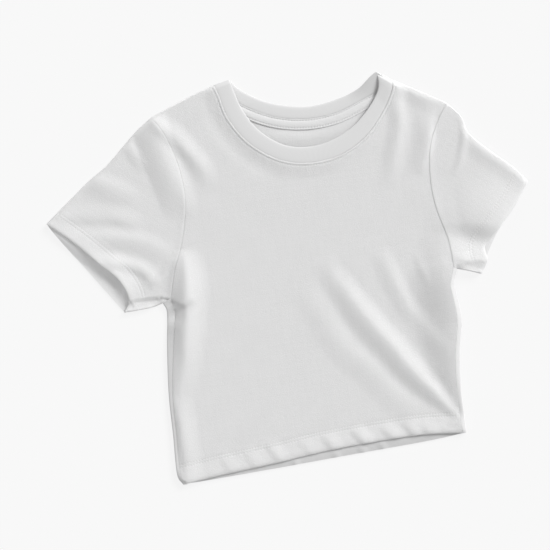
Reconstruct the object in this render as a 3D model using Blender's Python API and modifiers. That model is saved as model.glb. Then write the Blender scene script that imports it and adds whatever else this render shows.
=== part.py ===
"""A short-sleeved crop top in cotton jersey, laid flat on its back.

The garment lies front side up on the plane z = 0, its neck towards +Y and its hem towards -Y, with
the origin in the middle of its outline. Each piece is the one that is cut and sewn: a front, a
back that wraps a little round both side folds, two sleeves that are flattened tubes, a ribbed
neckband ring and the tape that covers the back neck seam. The pieces stop just short of each other
at every seam.

Tables are in millimetres, and the meshes are in metres.
"""

from collections import namedtuple

import bpy
import numpy as np
from mathutils import Vector
from mathutils.geometry import delaunay_2d_cdt

# Cloth and seams, in millimetres
MM = 0.001
JERSEY = 1.2            # wall of the front, back and sleeves
SEAM_GAP = 0.4          # clear distance between two sewn pieces
HALF_GAP = SEAM_GAP / 2
FOLD_GAP = 0.45         # how far a panel stops short of the middle of a fold where its seam is
NECK_GAP = 0.3          # how far each side stops short of the neck seam
LAY_GAP = 0.3           # clear distance between a piece and what it lies on
FOLD_RADIUS = 3.2       # outer radius of the roll where a layer turns over at a fold
FOLD_HEIGHT = FOLD_RADIUS   # of the middle of a fold, above the table
BAND_THICKNESS = 2.4    # the folded rib of the neckband
TAPE_THICKNESS = 0.9
TAPE_WIDTH = 11.5
TAPE_SETBACK = 0.6      # how far the tape starts below the neck seam
TAPE_END = 0.06         # share of the back neck left bare at each end of the tape

# The neckband's section, as shares of its width from the seam and of its thickness from the face
BAND_SECTION = (
    (0.0, 0.0), (0.5, 0.0), (0.93, 0.0), (1.0, 0.3),
    (1.0, 0.7), (0.93, 1.0), (0.5, 1.0), (0.0, 1.0),
)

# Rough lengths of the seams that end at a fold, over which the fold's roll is stepped
ARMHOLE_REACH = 212.0
NECK_REACH = 300.0
SHOULDER_CORNER = 0.05  # share of a shoulder fold at which its roll starts and ends
EASE_REACH = 11.0       # how far in from a fold the soft crests reach their full height
CREST_TAPER = 0.26      # share of a crest's length over which each of its ends runs out
NECK_RISE = 2.0         # how far the neck seam stands above the front, and the width of its slope
NECK_SLOPE = 20.0

# How finely each piece is divided
SHOULDER_STEPS = 7
NECK_STEPS = 22
SIDE_STEPS = 15
ARMHOLE_STEPS = 14
HEM_STEPS = 26
SLEEVE_RINGS = 11
TAPE_STATIONS = 20
FRONT_SPACING = 11.0    # between the points inside the front, which carries the folds
BACK_SPACING = 30.0     # between the points inside the back, which is flat
CLEAR_SHARE = 0.55      # of the spacing, kept clear round an outline
ROLL_ANGLES = (0.0, 17.0, 48.0, 90.0)   # degrees round a fold at which its roll has an edge

Side = namedtuple("Side", "level x y seam_in")
Point = namedtuple("Point", "place x y")
Neck = namedtuple("Neck", "place seam_x seam_y edge_x edge_y")
Crest = namedtuple("Crest", "name x0 y0 x1 y1 bow height left_width right_width")

# The side folds from the hem up to the underarm. seam_in is how far the side seam lies in from the
# fold, on the upper layer.
LEFT_SIDE = (
    Side("hem corner", -151.0, -221.8, 5.0),
    Side("hem turn", -156.6, -209.0, 5.0),
    Side("low waist", -156.0, -165.0, 5.5),
    Side("waist", -155.8, -120.0, 5.5),
    Side("high waist", -151.6, -66.0, 6.0),
    Side("under the arm", -147.4, -30.0, 7.0),
    Side("underarm", -150.7, -18.0, 9.0),
)
RIGHT_SIDE = (
    Side("hem corner", 170.0, -200.0, 4.0),
    Side("hem turn", 169.6, -182.0, 4.5),
    Side("low waist", 169.4, -152.0, 5.0),
    Side("waist", 172.0, -112.0, 5.0),
    Side("high waist", 178.2, -72.0, 5.0),
    Side("under the arm", 174.6, -34.0, 5.0),
    Side("underarm", 180.0, -17.0, 5.0),
)

# The armhole seams, from the underarm to the shoulder tip
LEFT_ARMHOLE = (
    Point("underarm", -141.0, -13.0),
    Point("low", -133.2, 17.4),
    Point("lower middle", -120.2, 52.0),
    Point("middle", -112.8, 92.0),
    Point("upper middle", -115.8, 131.0),
    Point("high", -127.2, 168.0),
    Point("shoulder tip", -140.6, 189.6),
)
RIGHT_ARMHOLE = (
    Point("underarm", 175.5, -14.5),
    Point("low", 173.6, 16.0),
    Point("lower middle", 164.5, 52.0),
    Point("middle", 161.5, 84.0),
    Point("upper middle", 165.2, 120.0),
    Point("high", 177.0, 149.0),
    Point("shoulder tip", 189.6, 168.9),
)

# The sleeves: the upper fold from shoulder tip to cuff, the lower fold from underarm to cuff, and
# the cuff's two edges from the lower fold to the upper one
LEFT_SLEEVE_TOP = (
    Point("shoulder tip", -140.6, 189.6),
    Point("cap", -161.0, 174.3),
    Point("dip", -194.0, 143.4),
    Point("middle", -216.4, 128.0),
    Point("above the cuff", -241.2, 108.2),
    Point("cuff tip", -270.2, 84.6),
)
LEFT_SLEEVE_UNDER = (
    Point("underarm", -150.7, -18.0),
    Point("near the body", -165.8, -21.7),
    Point("cuff corner", -194.4, -23.8),
)
LEFT_CUFF_FRONT = (
    Point("cuff corner", -194.4, -23.8),
    Point("first wave", -188.0, -9.0),
    Point("second wave", -196.6, 13.0),
    Point("middle", -214.0, 31.0),
    Point("upper", -239.0, 57.0),
    Point("cuff tip", -270.2, 84.6),
)
LEFT_CUFF_BACK = (
    Point("cuff corner", -194.4, -23.8),
    Point("middle", -231.0, 28.0),
    Point("cuff tip", -270.2, 84.6),
)
RIGHT_SLEEVE_TOP = (
    Point("shoulder tip", 189.6, 168.9),
    Point("cap", 204.0, 152.0),
    Point("dip", 211.0, 132.0),
    Point("middle", 232.0, 110.5),
    Point("above the cuff", 255.0, 90.0),
    Point("cuff tip", 270.4, 71.9),
)
RIGHT_SLEEVE_UNDER = (
    Point("underarm", 180.0, -17.0),
    Point("near the body", 192.0, -20.5),
    Point("cuff corner", 206.8, -25.8),
)
RIGHT_CUFF_FRONT = (
    Point("cuff corner", 206.8, -25.8),
    Point("flap", 214.8, -11.0),
    Point("fold", 214.4, 6.0),
    Point("middle", 231.6, 23.2),
    Point("upper", 250.5, 44.5),
    Point("cuff tip", 270.4, 71.9),
)
RIGHT_CUFF_BACK = (
    Point("cuff corner", 206.8, -25.8),
    Point("lower", 217.0, -3.0),
    Point("middle", 232.4, 22.0),
    Point("upper", 251.5, 43.8),
    Point("cuff tip", 270.4, 71.9),
)

# The shoulder folds, from the tip to the neck
LEFT_SHOULDER = (
    Point("shoulder tip", -140.6, 189.6),
    Point("middle", -105.0, 204.0),
    Point("neck", -66.5, 218.0),
)
RIGHT_SHOULDER = (
    Point("shoulder tip", 189.6, 168.9),
    Point("middle", 163.0, 184.4),
    Point("neck", 132.4, 201.2),
)

# The hems, from the left corner to the right one
HEM_FRONT = (
    Point("left corner", -151.0, -221.8),
    Point("left", -100.0, -216.2),
    Point("left of middle", -41.0, -209.4),
    Point("middle", 5.2, -202.8),
    Point("right of middle", 51.0, -198.8),
    Point("right", 118.7, -196.2),
    Point("right corner", 170.0, -200.0),
)
HEM_BACK = (
    Point("left corner", -151.0, -221.8),
    Point("left of middle", -41.3, -215.1),
    Point("middle", 27.0, -210.6),
    Point("right", 118.0, -204.8),
    Point("right corner", 170.0, -200.0),
)

# The neckband. The seam is the edge sewn to the body, and the edge is the folded one at the opening.
NECK_FRONT = (
    Neck("left shoulder", -66.5, 218.0, -48.6, 222.0),
    Neck("left side", -61.8, 204.0, -44.2, 205.0),
    Neck("left curve", -54.1, 177.5, -36.8, 184.0),
    Neck("left of front", -33.8, 148.1, -20.8, 160.2),
    Neck("near the front", -2.4, 126.5, 4.6, 142.0),
    Neck("centre front", 31.0, 119.5, 32.6, 137.2),
    Neck("past the front", 65.0, 124.5, 58.4, 142.0),
    Neck("right of front", 95.0, 141.4, 83.6, 155.0),
    Neck("right curve", 117.5, 167.0, 104.6, 175.4),
    Neck("right side", 129.4, 188.0, 115.4, 193.6),
    Neck("right shoulder", 132.4, 201.2, 115.8, 212.2),
)
NECK_BACK = (
    Neck("left shoulder", -66.5, 218.0, -48.6, 222.0),
    Neck("left side", -57.0, 207.0, -38.4, 209.8),
    Neck("left of back", -30.0, 187.6, -17.2, 196.0),
    Neck("near the back", 0.0, 174.2, 6.4, 187.2),
    Neck("centre back", 33.0, 168.8, 35.6, 182.4),
    Neck("past the back", 66.0, 171.9, 64.6, 186.0),
    Neck("right of back", 98.0, 183.6, 91.8, 195.0),
    Neck("right side", 122.0, 193.6, 108.2, 207.6),
    Neck("right shoulder", 132.4, 201.2, 115.8, 212.2),
)

# The largest folds of the upper layer, as soft crests from (x0, y0) to (x1, y1). bow is how far the
# middle of a crest stands off its chord, and the widths are those of its two slopes, left and right
# of the way from start to end.
CRESTS = (
    Crest("left side roll", -119.0, 20.0, -148.0, -184.0, 1.0, 4.5, 26.0, 22.0),
    Crest("long diagonal", 38.0, -10.0, 161.0, -175.0, -2.0, 5.0, 21.0, 25.0),
    Crest("beside the diagonal", 30.0, -62.0, 122.0, -174.0, 0.0, 1.5, 22.0, 24.0),
    Crest("short diagonal", 100.0, -18.0, 148.0, -90.0, 0.0, 2.5, 15.0, 20.0),
    Crest("right side roll", 165.0, 14.0, 161.0, -172.0, 3.0, 6.0, 14.0, 42.0),
    Crest("right chest", 132.0, 188.0, 119.0, 94.0, 0.0, 2.6, 16.0, 15.0),
    Crest("right armhole", 177.0, 150.0, 163.0, 84.0, 0.0, 2.6, 14.0, 20.0),
    Crest("left shoulder", -130.0, 177.0, -92.0, 120.0, 1.0, 3.2, 17.0, 14.0),
    Crest("left sleeve cap", -142.0, 180.0, -123.0, 92.0, 0.0, 4.5, 13.0, 25.0),
    Crest("left sleeve middle", -216.0, 124.0, -160.0, 96.0, 0.0, 2.8, 14.0, 18.0),
    Crest("left cuff", -244.0, 66.0, -164.0, 6.0, 0.0, 4.0, 38.0, 15.0),
    Crest("right sleeve lower", 180.0, 38.0, 230.0, 35.0, 0.0, 4.8, 30.0, 24.0),
    Crest("right cuff flap", 184.0, -6.0, 210.0, -12.0, 0.0, 4.0, 22.0, 10.0),
)

COLOURS = {
    "front": (0.80, 0.80, 0.80, 1.0),
    "back": (0.72, 0.72, 0.74, 1.0),
    "sleeve_left": (0.77, 0.77, 0.79, 1.0),
    "sleeve_right": (0.77, 0.77, 0.79, 1.0),
    "neckband": (0.84, 0.84, 0.84, 1.0),
    "neck_tape": (0.70, 0.70, 0.70, 1.0),
}


# ---------------------------------------------------------------------------- curves in the plane
def places(table):
    """The x and y columns of a table of points."""
    return np.array([(row.x, row.y) for row in table])


def smooth_line(points, steps=16):
    """A Catmull-Rom curve through the points, as a fine polyline."""
    points = np.asarray(points, float)
    padded = np.vstack([2 * points[0] - points[1], points, 2 * points[-1] - points[-2]])
    t = np.linspace(0.0, 1.0, steps, endpoint=False)[:, None]
    spans = []
    for p0, p1, p2, p3 in zip(padded, padded[1:], padded[2:], padded[3:]):
        spans.append(
            0.5 * (2 * p1 + (p2 - p0) * t + (2 * p0 - 5 * p1 + 4 * p2 - p3) * t**2
                   + (3 * p1 - p0 - 3 * p2 + p3) * t**3)
        )
    return np.vstack(spans + [points[-1:]])


def along(line, fractions):
    """Points at fractions of the length of a polyline."""
    length = np.concatenate([[0.0], np.cumsum(np.linalg.norm(np.diff(line, axis=0), axis=1))])
    at = np.asarray(fractions) * length[-1]
    return np.column_stack([np.interp(at, length, line[:, k]) for k in range(line.shape[1])])


def shifted(line, distance):
    """A polyline moved sideways, to the left of its direction where distance is above zero."""
    way = np.gradient(line, axis=0)
    way /= np.linalg.norm(way, axis=1)[:, None]
    return line + distance * np.column_stack([-way[:, 1], way[:, 0]])


def patch(bottom, top, left, right, columns, rows):
    """A Coons patch in the plane between four edges, at fractions across and up it."""
    u = np.asarray(columns)[None, :, None]
    v = np.asarray(rows)[:, None, None]
    across = (1 - v) * bottom[None] + v * top[None]
    left_bend = left[:, None] - (1 - v) * left[0] - v * left[-1]
    right_bend = right[:, None] - (1 - v) * right[0] - v * right[-1]
    return across + (1 - u) * left_bend + u * right_bend


def roll_offsets():
    """How far in from a fold its roll has an edge."""
    return FOLD_RADIUS * (1 - np.cos(np.radians(ROLL_ANGLES)))


def steps_to_a_fold(count, length):
    """Fractions along a length that ends at a fold and crowds round the fold's roll."""
    end = 1 - roll_offsets()[::-1] / length
    even = np.linspace(0.0, end[0], count + 1)[:-1]
    return np.concatenate([even, end])


# ------------------------------------------------------------------------- the garment's outline
LEFT_SIDE_FOLD = smooth_line(places(LEFT_SIDE))
RIGHT_SIDE_FOLD = smooth_line(places(RIGHT_SIDE))
CLOSED_FOLDS = [
    LEFT_SIDE_FOLD,
    RIGHT_SIDE_FOLD,
    smooth_line(places(LEFT_SLEEVE_TOP)),
    smooth_line(places(LEFT_SLEEVE_UNDER)),
    smooth_line(places(RIGHT_SLEEVE_TOP)),
    smooth_line(places(RIGHT_SLEEVE_UNDER)),
    smooth_line(places(LEFT_SHOULDER)),
    smooth_line(places(RIGHT_SHOULDER)),
]


def distance_to(points, lines):
    """How far each point in the plane lies from the nearest of some polylines."""
    nearest = np.full(len(points), np.inf)
    for line in lines:
        start, way = line[:-1], np.diff(line, axis=0)
        reach = points[:, None, :] - start[None]
        share = np.clip((reach * way).sum(2) / (way * way).sum(1), 0.0, 1.0)
        gap = np.linalg.norm(reach - share[..., None] * way, axis=2)
        nearest = np.minimum(nearest, gap.min(axis=1))
    return nearest


def eased(share):
    """A soft step from 0 to 1 as a share runs from 0 to 1."""
    share = np.clip(share, 0.0, 1.0)
    return share * share * (3 - 2 * share)


def relief(points):
    """The height that the folds and the neck seam add to the upper layer."""
    from_neck = distance_to(points, [neck_line(NECK_FRONT)])
    height = NECK_RISE * (1 - eased(from_neck / NECK_SLOPE))
    for crest in CRESTS:
        start = np.array([crest.x0, crest.y0])
        way = np.array([crest.x1, crest.y1]) - start
        length = np.linalg.norm(way)
        way /= length
        reach = points - start
        run = reach @ way / length
        bow = crest.bow * 4 * np.clip(run, 0, 1) * (1 - np.clip(run, 0, 1))
        off = reach @ np.array([-way[1], way[0]]) - bow
        width = np.where(off > 0, crest.left_width, crest.right_width)
        across = np.cos(np.clip(off / width, -1, 1) * np.pi) * 0.5 + 0.5
        ends = eased((np.minimum(run, 1 - run) + CREST_TAPER / 2) / CREST_TAPER)
        height += crest.height * across * ends
    return height


def roll_rise(distance):
    """The rise of a quarter circle, from its end at the fold to its top one radius in."""
    inward = 1 - np.minimum(distance, FOLD_RADIUS) / FOLD_RADIUS
    return FOLD_RADIUS * np.sqrt(1 - inward**2)


def upper_layer(points):
    """Points of the plane put on the outer face of the upper layer."""
    distance = distance_to(points, CLOSED_FOLDS)
    lift = relief(points) * eased(distance / EASE_REACH)
    height = FOLD_HEIGHT + roll_rise(distance) + lift
    return np.column_stack([points, height])


def lower_layer(points):
    """Points of the plane put on the outer face of the lower layer, which lies flat."""
    rise = roll_rise(distance_to(points, CLOSED_FOLDS))
    return np.column_stack([points, FOLD_HEIGHT - rise])


# ----------------------------------------------------------------------------- meshes and objects
def material(name):
    """A matt cloth material in the piece's colour."""
    cloth = bpy.data.materials.new(name)
    cloth.use_nodes = True
    shader = cloth.node_tree.nodes["Principled BSDF"]
    shader.inputs["Base Color"].default_value = COLOURS[name]
    shader.inputs["Roughness"].default_value = 0.9
    shader.inputs["Metallic"].default_value = 0.0
    return cloth


def piece(name, collection, points, faces):
    """A named object from points in millimetres and the faces between them."""
    mesh = bpy.data.meshes.new(name)
    mesh.from_pydata((np.asarray(points) * MM).tolist(), [], faces)
    mesh.materials.append(material(name))
    obj = bpy.data.objects.new(name, mesh)
    collection.objects.link(obj)
    return obj


def thicken(obj, wall):
    """Give a sheet its wall, on the inner side of its faces."""
    solidify = obj.modifiers.new("wall", "SOLIDIFY")
    solidify.thickness = wall * MM
    solidify.offset = -1.0


def side_seam(table, sign):
    """The side seam on the upper layer, in from the fold by the table's seam_in column."""
    return smooth_line([(row.x + sign * row.seam_in, row.y) for row in table[:-1]])


def neck_line(table, edge=False):
    """The neckband's seam, or its folded edge."""
    if edge:
        return smooth_line([(row.edge_x, row.edge_y) for row in table])
    return smooth_line([(row.seam_x, row.seam_y) for row in table])


def joined(*lines):
    """Polylines joined end to end into one."""
    return np.vstack(lines)


def neck_steps():
    """Fractions along half the neck, crowding round the folds at the shoulders."""
    even = np.linspace(0.0, 1.0, NECK_STEPS + 1)
    roll = roll_offsets()[1:] / NECK_REACH
    return np.concatenate([even[:1], roll, even[1:-1], 1 - roll[::-1], even[-1:]])


def armhole_ring(side, hole, shift):
    """One layer of an armhole, moved sideways, from the side fold to the shoulder tip.

    The first four points go round the side fold to the end of the side seam on the upper layer.
    """
    fold = np.array([side[-1].x, side[-1].y])
    seam = places(hole)[0]
    start = fold + (seam - fold) * roll_offsets()[:, None] / np.linalg.norm(seam - fold)
    steps = steps_to_a_fold(ARMHOLE_STEPS, ARMHOLE_REACH)
    return shifted(joined(start, along(smooth_line(places(hole)), steps)), shift)


def inside(points, outline):
    """Which points of the plane lie inside a closed outline."""
    x, y = points[:, :1], points[:, 1:]
    x0, y0 = outline[:, 0], outline[:, 1]
    x1, y1 = np.roll(x0, -1), np.roll(y0, -1)
    spans = (y0 > y) != (y1 > y)
    rise = np.where(y1 == y0, 1.0, y1 - y0)
    crosses = spans & (x < x0 + (x1 - x0) * (y - y0) / rise)
    return crosses.sum(axis=1) % 2 == 1


def scattered(outline, taken, spacing):
    """Points in even staggered rows inside an outline, clear of it and of the points taken."""
    low, high = outline.min(axis=0), outline.max(axis=0)
    rows = np.arange(low[1], high[1], spacing * np.sqrt(0.75))
    lines = []
    for k, row in enumerate(rows):
        across = np.arange(low[0] + spacing * (k % 2) / 2, high[0], spacing)
        lines.append(np.column_stack([across, np.full(len(across), row)]))
    points = np.vstack(lines)
    points = points[inside(points, outline)]
    taken = np.vstack([outline, taken])
    gap = np.linalg.norm(points[:, None] - taken[None], axis=2).min(axis=1)
    return points[gap > spacing * CLEAR_SHARE]


def fold_steps(count, corner):
    """Fractions along a fold, with one step close to each of its corners."""
    even = np.linspace(corner, 1.0 - corner, count)
    return np.concatenate([[0.0], even, [1.0]])


def roll_points(fold, steps, towards):
    """Rows of points beside a fold, at the edges of its roll. towards is the side, 1 or -1."""
    on_fold = along(fold, steps)
    rows = [shifted(on_fold, towards * offset)[1:-1] for offset in roll_offsets()[1:]]
    return np.vstack(rows)


def sheet(outline, beside_folds, spacing):
    """A panel's points in the plane, its triangles, and where each outline point went."""
    points = np.vstack([outline, beside_folds, scattered(outline, beside_folds, spacing)])
    ring = list(range(len(outline)))
    result = delaunay_2d_cdt([Vector(point) for point in points], [], [ring], 1, 1e-6)
    found = {old: new for new, olds in enumerate(result[3]) for old in olds}
    flat = np.array([tuple(point) for point in result[0]])
    return flat, [tuple(face) for face in result[2]], [found[old] for old in ring]


def body_outline(left, right, left_hole, right_hole, neck, hem):
    """The closed outline of a body panel, round from the left end of its hem."""
    steps = fold_steps(SHOULDER_STEPS, SHOULDER_CORNER)[1:-1]
    right_shoulder = along(smooth_line(places(RIGHT_SHOULDER)), steps)
    left_shoulder = along(smooth_line(places(LEFT_SHOULDER)), steps)
    return joined(hem[1:-1], right, right_hole, right_shoulder, neck[::-1], left_shoulder[::-1],
                  left_hole[::-1], left[::-1])


def shoulder_rolls():
    """The rows of points beside both shoulder folds."""
    steps = fold_steps(SHOULDER_STEPS, SHOULDER_CORNER)
    left = roll_points(smooth_line(places(LEFT_SHOULDER)), steps, -1)
    right = roll_points(smooth_line(places(RIGHT_SHOULDER)), steps, 1)
    return joined(left, right)


def make_front(collection):
    """The front, from side seam to side seam and from the hem to the shoulders and neck seam."""
    turn = len(ROLL_ANGLES)
    left_hole = armhole_ring(LEFT_SIDE, LEFT_ARMHOLE, -HALF_GAP)[turn:]
    right_hole = armhole_ring(RIGHT_SIDE, RIGHT_ARMHOLE, HALF_GAP)[turn:]
    up = np.linspace(0.0, 1.0, SIDE_STEPS + 1)
    left_seam = joined(shifted(side_seam(LEFT_SIDE, 1), -HALF_GAP), left_hole[:1])
    right_seam = joined(shifted(side_seam(RIGHT_SIDE, -1), HALF_GAP), right_hole[:1])
    neck = along(shifted(neck_line(NECK_FRONT), -NECK_GAP), neck_steps())
    hem = along(smooth_line(places(HEM_FRONT)), np.linspace(0.0, 1.0, HEM_STEPS + 1))
    outline = body_outline(along(left_seam, up)[:-1], along(right_seam, up)[:-1], left_hole,
                           right_hole, neck, hem)
    flat, faces, _ = sheet(outline, shoulder_rolls(), FRONT_SPACING)
    points = upper_layer(flat)
    points[:, 2] = np.maximum(points[:, 2], FOLD_HEIGHT + FOLD_GAP)
    front = piece("front", collection, points, faces)
    thicken(front, JERSEY)
    return front


def make_back(collection):
    """The back, flat on the table, with its two side strips turned over onto the upper layer."""
    left_hole = armhole_ring(LEFT_SIDE, LEFT_ARMHOLE, -HALF_GAP)
    right_hole = armhole_ring(RIGHT_SIDE, RIGHT_ARMHOLE, HALF_GAP)
    up = np.linspace(0.0, 1.0, SIDE_STEPS + 1)
    left = along(joined(LEFT_SIDE_FOLD[:-1], left_hole[:1]), up)
    right = along(joined(RIGHT_SIDE_FOLD[:-1], right_hole[:1]), up)
    neck = along(shifted(neck_line(NECK_BACK), -NECK_GAP), neck_steps())
    hem = along(smooth_line(places(HEM_BACK)), np.linspace(0.0, 1.0, HEM_STEPS + 1))
    outline = body_outline(left[:-1], right[:-1], left_hole, right_hole, neck, hem)
    side_rolls = joined(roll_points(LEFT_SIDE_FOLD, up, -1),
                        roll_points(RIGHT_SIDE_FOLD, up, 1))
    flat, faces, ring = sheet(outline, joined(shoulder_rolls(), side_rolls), BACK_SPACING)
    points = lower_layer(flat)
    above_underarm = flat[:, 1] > places(LEFT_ARMHOLE)[1, 1]
    points[above_underarm, 2] = np.minimum(points[above_underarm, 2], FOLD_HEIGHT - FOLD_GAP)
    faces = [face[::-1] for face in faces]

    first_right = len(hem) - 2
    right_ring = ring[first_right:first_right + SIDE_STEPS + 1]
    left_ring = (ring[-SIDE_STEPS - 1:])[::-1]
    for table, sign, fold, hole, shared in (
        (LEFT_SIDE, 1, left, LEFT_ARMHOLE, left_ring),
        (RIGHT_SIDE, -1, right, RIGHT_ARMHOLE, right_ring),
    ):
        strip, wide = side_strip(fold, table, sign, places(hole)[0] - (0.0, HALF_GAP), up)
        first = len(points)
        points = joined(points, strip)
        for j in range(SIDE_STEPS):
            here = [shared[j]] + [first + j * wide + i for i in range(wide)]
            above = [shared[j + 1]] + [first + (j + 1) * wide + i for i in range(wide)]
            for i in range(wide):
                quad = (here[i], here[i + 1], above[i + 1], above[i])
                faces.append(quad if sign > 0 else quad[::-1])
    back = piece("back", collection, points, faces)
    thicken(back, JERSEY)
    return back


def side_strip(fold, table, sign, top_corner, up):
    """The strip of the back that turns over a side fold and ends at the side seam on top."""
    seam = shifted(side_seam(table, sign), sign * HALF_GAP)
    seam = along(joined(seam, top_corner[None]), up)
    widths = np.linalg.norm(seam - fold, axis=1)[:, None]
    columns = [fold + (seam - fold) * np.minimum(step / widths, 0.9) for step in roll_offsets()[1:]]
    flat = np.stack(columns + [seam], axis=1)
    return upper_layer(flat.reshape(-1, 2)), flat.shape[1]


def make_sleeve(name, collection, tables, mirrored):
    """A sleeve, as a tube flattened between its upper and lower folds."""
    side, hole, over, under, cuff_front, cuff_back = tables
    sign = -1.0 if mirrored else 1.0
    out = np.linspace(0.0, 1.0, SLEEVE_RINGS + 1)
    ring = armhole_ring(side, hole, sign * HALF_GAP)
    around = np.concatenate([[0.0], np.cumsum(np.linalg.norm(np.diff(ring, axis=0), axis=1))])
    around /= around[-1]
    upper_fold = smooth_line(places(over))
    lower_fold = smooth_line(places(under))
    upper_fold[0], lower_fold[0] = ring[-1], ring[0]
    layers = []
    for cuff in (cuff_front, cuff_back):
        layers.append(patch(ring, along(smooth_line(places(cuff)), around),
                            along(lower_fold, out), along(upper_fold, out), around, out))
    front = upper_layer(layers[0].reshape(-1, 2)).reshape(len(out), len(around), 3)
    back = lower_layer(layers[1].reshape(-1, 2)).reshape(len(out), len(around), 3)
    front[:, [0, -1], 2] = FOLD_HEIGHT
    points = np.concatenate([front, back[:, -2:0:-1]], axis=1)
    count = points.shape[1]
    faces = []
    for j in range(len(out) - 1):
        for i in range(count):
            k = (i + 1) % count
            quad = (j * count + i, j * count + k, (j + 1) * count + k, (j + 1) * count + i)
            faces.append(quad[::-1] if mirrored else quad)
    sleeve = piece(name, collection, points.reshape(-1, 3), faces)
    thicken(sleeve, JERSEY)
    return sleeve


def band_stations(table, side):
    """Seam point, edge point and outward normal at each station of half the neckband."""
    seam_line = shifted(neck_line(table), NECK_GAP)
    edge_line = neck_line(table, edge=True)
    steps = neck_steps()
    seam, edge = along(seam_line, steps), along(edge_line, steps)
    run = np.minimum(steps, 1 - steps) * NECK_REACH
    rise = roll_rise(run)
    lift = relief(seam) if side > 0 else np.zeros(len(steps))
    height = FOLD_HEIGHT + side * rise + lift * eased(run / EASE_REACH)
    tilt = 1 - np.minimum(run, FOLD_RADIUS) / FOLD_RADIUS
    across = (edge - seam) / np.linalg.norm(edge - seam, axis=1)[:, None]
    outward = np.column_stack([-across[:, 1], across[:, 0]])
    outward[steps > 0.5] *= -1
    normal = np.column_stack([outward * tilt[:, None], side * rise / FOLD_RADIUS])
    return np.column_stack([seam, height]), np.column_stack([edge, height]), normal


def make_neckband(collection):
    """The neckband, a folded strip of rib in one ring round the neck."""
    front = band_stations(NECK_FRONT, 1)
    back = band_stations(NECK_BACK, -1)
    seam, edge, normal = (np.vstack([f, b[-2:0:-1]]) for f, b in zip(front, back))
    rings = []
    for share, depth in BAND_SECTION:
        rings.append(seam + (edge - seam) * share - normal * depth * BAND_THICKNESS)
    points = np.stack(rings, axis=1)
    stations, corners = points.shape[:2]
    faces = []
    for j in range(stations):
        for i in range(corners):
            a, b = j * corners, (j + 1) % stations * corners
            k = (i + 1) % corners
            faces.append((a + i, b + i, b + k, a + k))
    return piece("neckband", collection, points.reshape(-1, 3), faces)


def make_neck_tape(collection):
    """The tape over the back neck seam, on the inner face of the back."""
    seam = neck_line(NECK_BACK)
    steps = np.linspace(TAPE_END, 1 - TAPE_END, TAPE_STATIONS + 1)
    near = along(shifted(seam, -TAPE_SETBACK), steps)
    far = along(shifted(seam, -TAPE_SETBACK - TAPE_WIDTH), steps)
    flat = np.stack([far, near], axis=0).reshape(-1, 2)
    height = JERSEY + LAY_GAP + TAPE_THICKNESS
    points = np.column_stack([flat, np.full(len(flat), height)])
    count = len(steps)
    faces = [(i, i + 1, i + 1 + count, i + count) for i in range(count - 1)]
    tape = piece("neck_tape", collection, points, faces)
    thicken(tape, TAPE_THICKNESS)
    return tape


def clear_collection(name):
    """Remove what the scene holds and give it one empty collection."""
    for obj in list(bpy.data.objects):
        bpy.data.objects.remove(obj, do_unlink=True)
    collection = bpy.data.collections.new(name)
    bpy.context.scene.collection.children.link(collection)
    return collection


def main():
    """Build every piece of the crop top."""
    collection = clear_collection("crop_top")
    make_front(collection)
    make_back(collection)
    left = (LEFT_SIDE, LEFT_ARMHOLE, LEFT_SLEEVE_TOP, LEFT_SLEEVE_UNDER, LEFT_CUFF_FRONT,
            LEFT_CUFF_BACK)
    right = (RIGHT_SIDE, RIGHT_ARMHOLE, RIGHT_SLEEVE_TOP, RIGHT_SLEEVE_UNDER, RIGHT_CUFF_FRONT,
             RIGHT_CUFF_BACK)
    make_sleeve("sleeve_left", collection, left, False)
    make_sleeve("sleeve_right", collection, right, True)
    make_neckband(collection)
    make_neck_tape(collection)


main()
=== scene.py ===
"""Looks of a short-sleeved crop top in white cotton jersey, laid flat with its front up.

The garment lies on the plane z = 0 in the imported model's frame, its neck towards +Y. Sizes in the
tables are in millimetres, and meshes are in metres. Each cut piece is a thin shell of cloth with
its own folds, seams and stitches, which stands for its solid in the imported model.
"""

from __future__ import annotations

import logging
import math
from collections.abc import Callable, Sequence
from dataclasses import dataclass, field, replace
from enum import Enum

import bpy
import numpy as np
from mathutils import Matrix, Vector
from mathutils.geometry import delaunay_2d_cdt
from mathutils.kdtree import KDTree

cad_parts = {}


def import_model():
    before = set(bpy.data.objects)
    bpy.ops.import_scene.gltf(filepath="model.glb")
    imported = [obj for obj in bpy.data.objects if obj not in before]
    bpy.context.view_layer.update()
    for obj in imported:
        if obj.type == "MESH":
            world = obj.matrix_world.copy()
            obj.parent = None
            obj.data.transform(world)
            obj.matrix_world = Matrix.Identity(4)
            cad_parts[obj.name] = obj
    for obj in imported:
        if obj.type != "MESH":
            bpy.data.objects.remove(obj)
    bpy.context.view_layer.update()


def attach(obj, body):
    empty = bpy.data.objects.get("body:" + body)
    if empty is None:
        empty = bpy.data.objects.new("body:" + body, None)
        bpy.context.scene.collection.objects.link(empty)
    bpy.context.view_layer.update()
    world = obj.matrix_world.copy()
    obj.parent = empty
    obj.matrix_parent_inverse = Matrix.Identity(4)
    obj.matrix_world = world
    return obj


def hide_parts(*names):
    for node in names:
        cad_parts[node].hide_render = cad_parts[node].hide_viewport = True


LOG = logging.getLogger("crop_top")
Array = np.ndarray
Faces = list[tuple[int, ...]]
Height = Callable[[Array], Array]
Profile = tuple[tuple[float, float], ...]

MM = 0.001
TINY = 1e-9             # keeps a division by a length of nothing safe
SAME = 1e-6             # within which a line's neighbouring points count as one
WALL = 1.2              # the jersey's thickness with its loft
SEAM_GAP = 0.03         # from each sewn edge to its seam's middle
HEM_STITCHES = (19.0, 22.3)              # the hem's twin rows, in from its edge
CREASE_ANGLE = 55.0     # degrees past which a mesh's edge is drawn sharp
TILT = 6.5              # degrees that the garment lies turned by, seen from above

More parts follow.
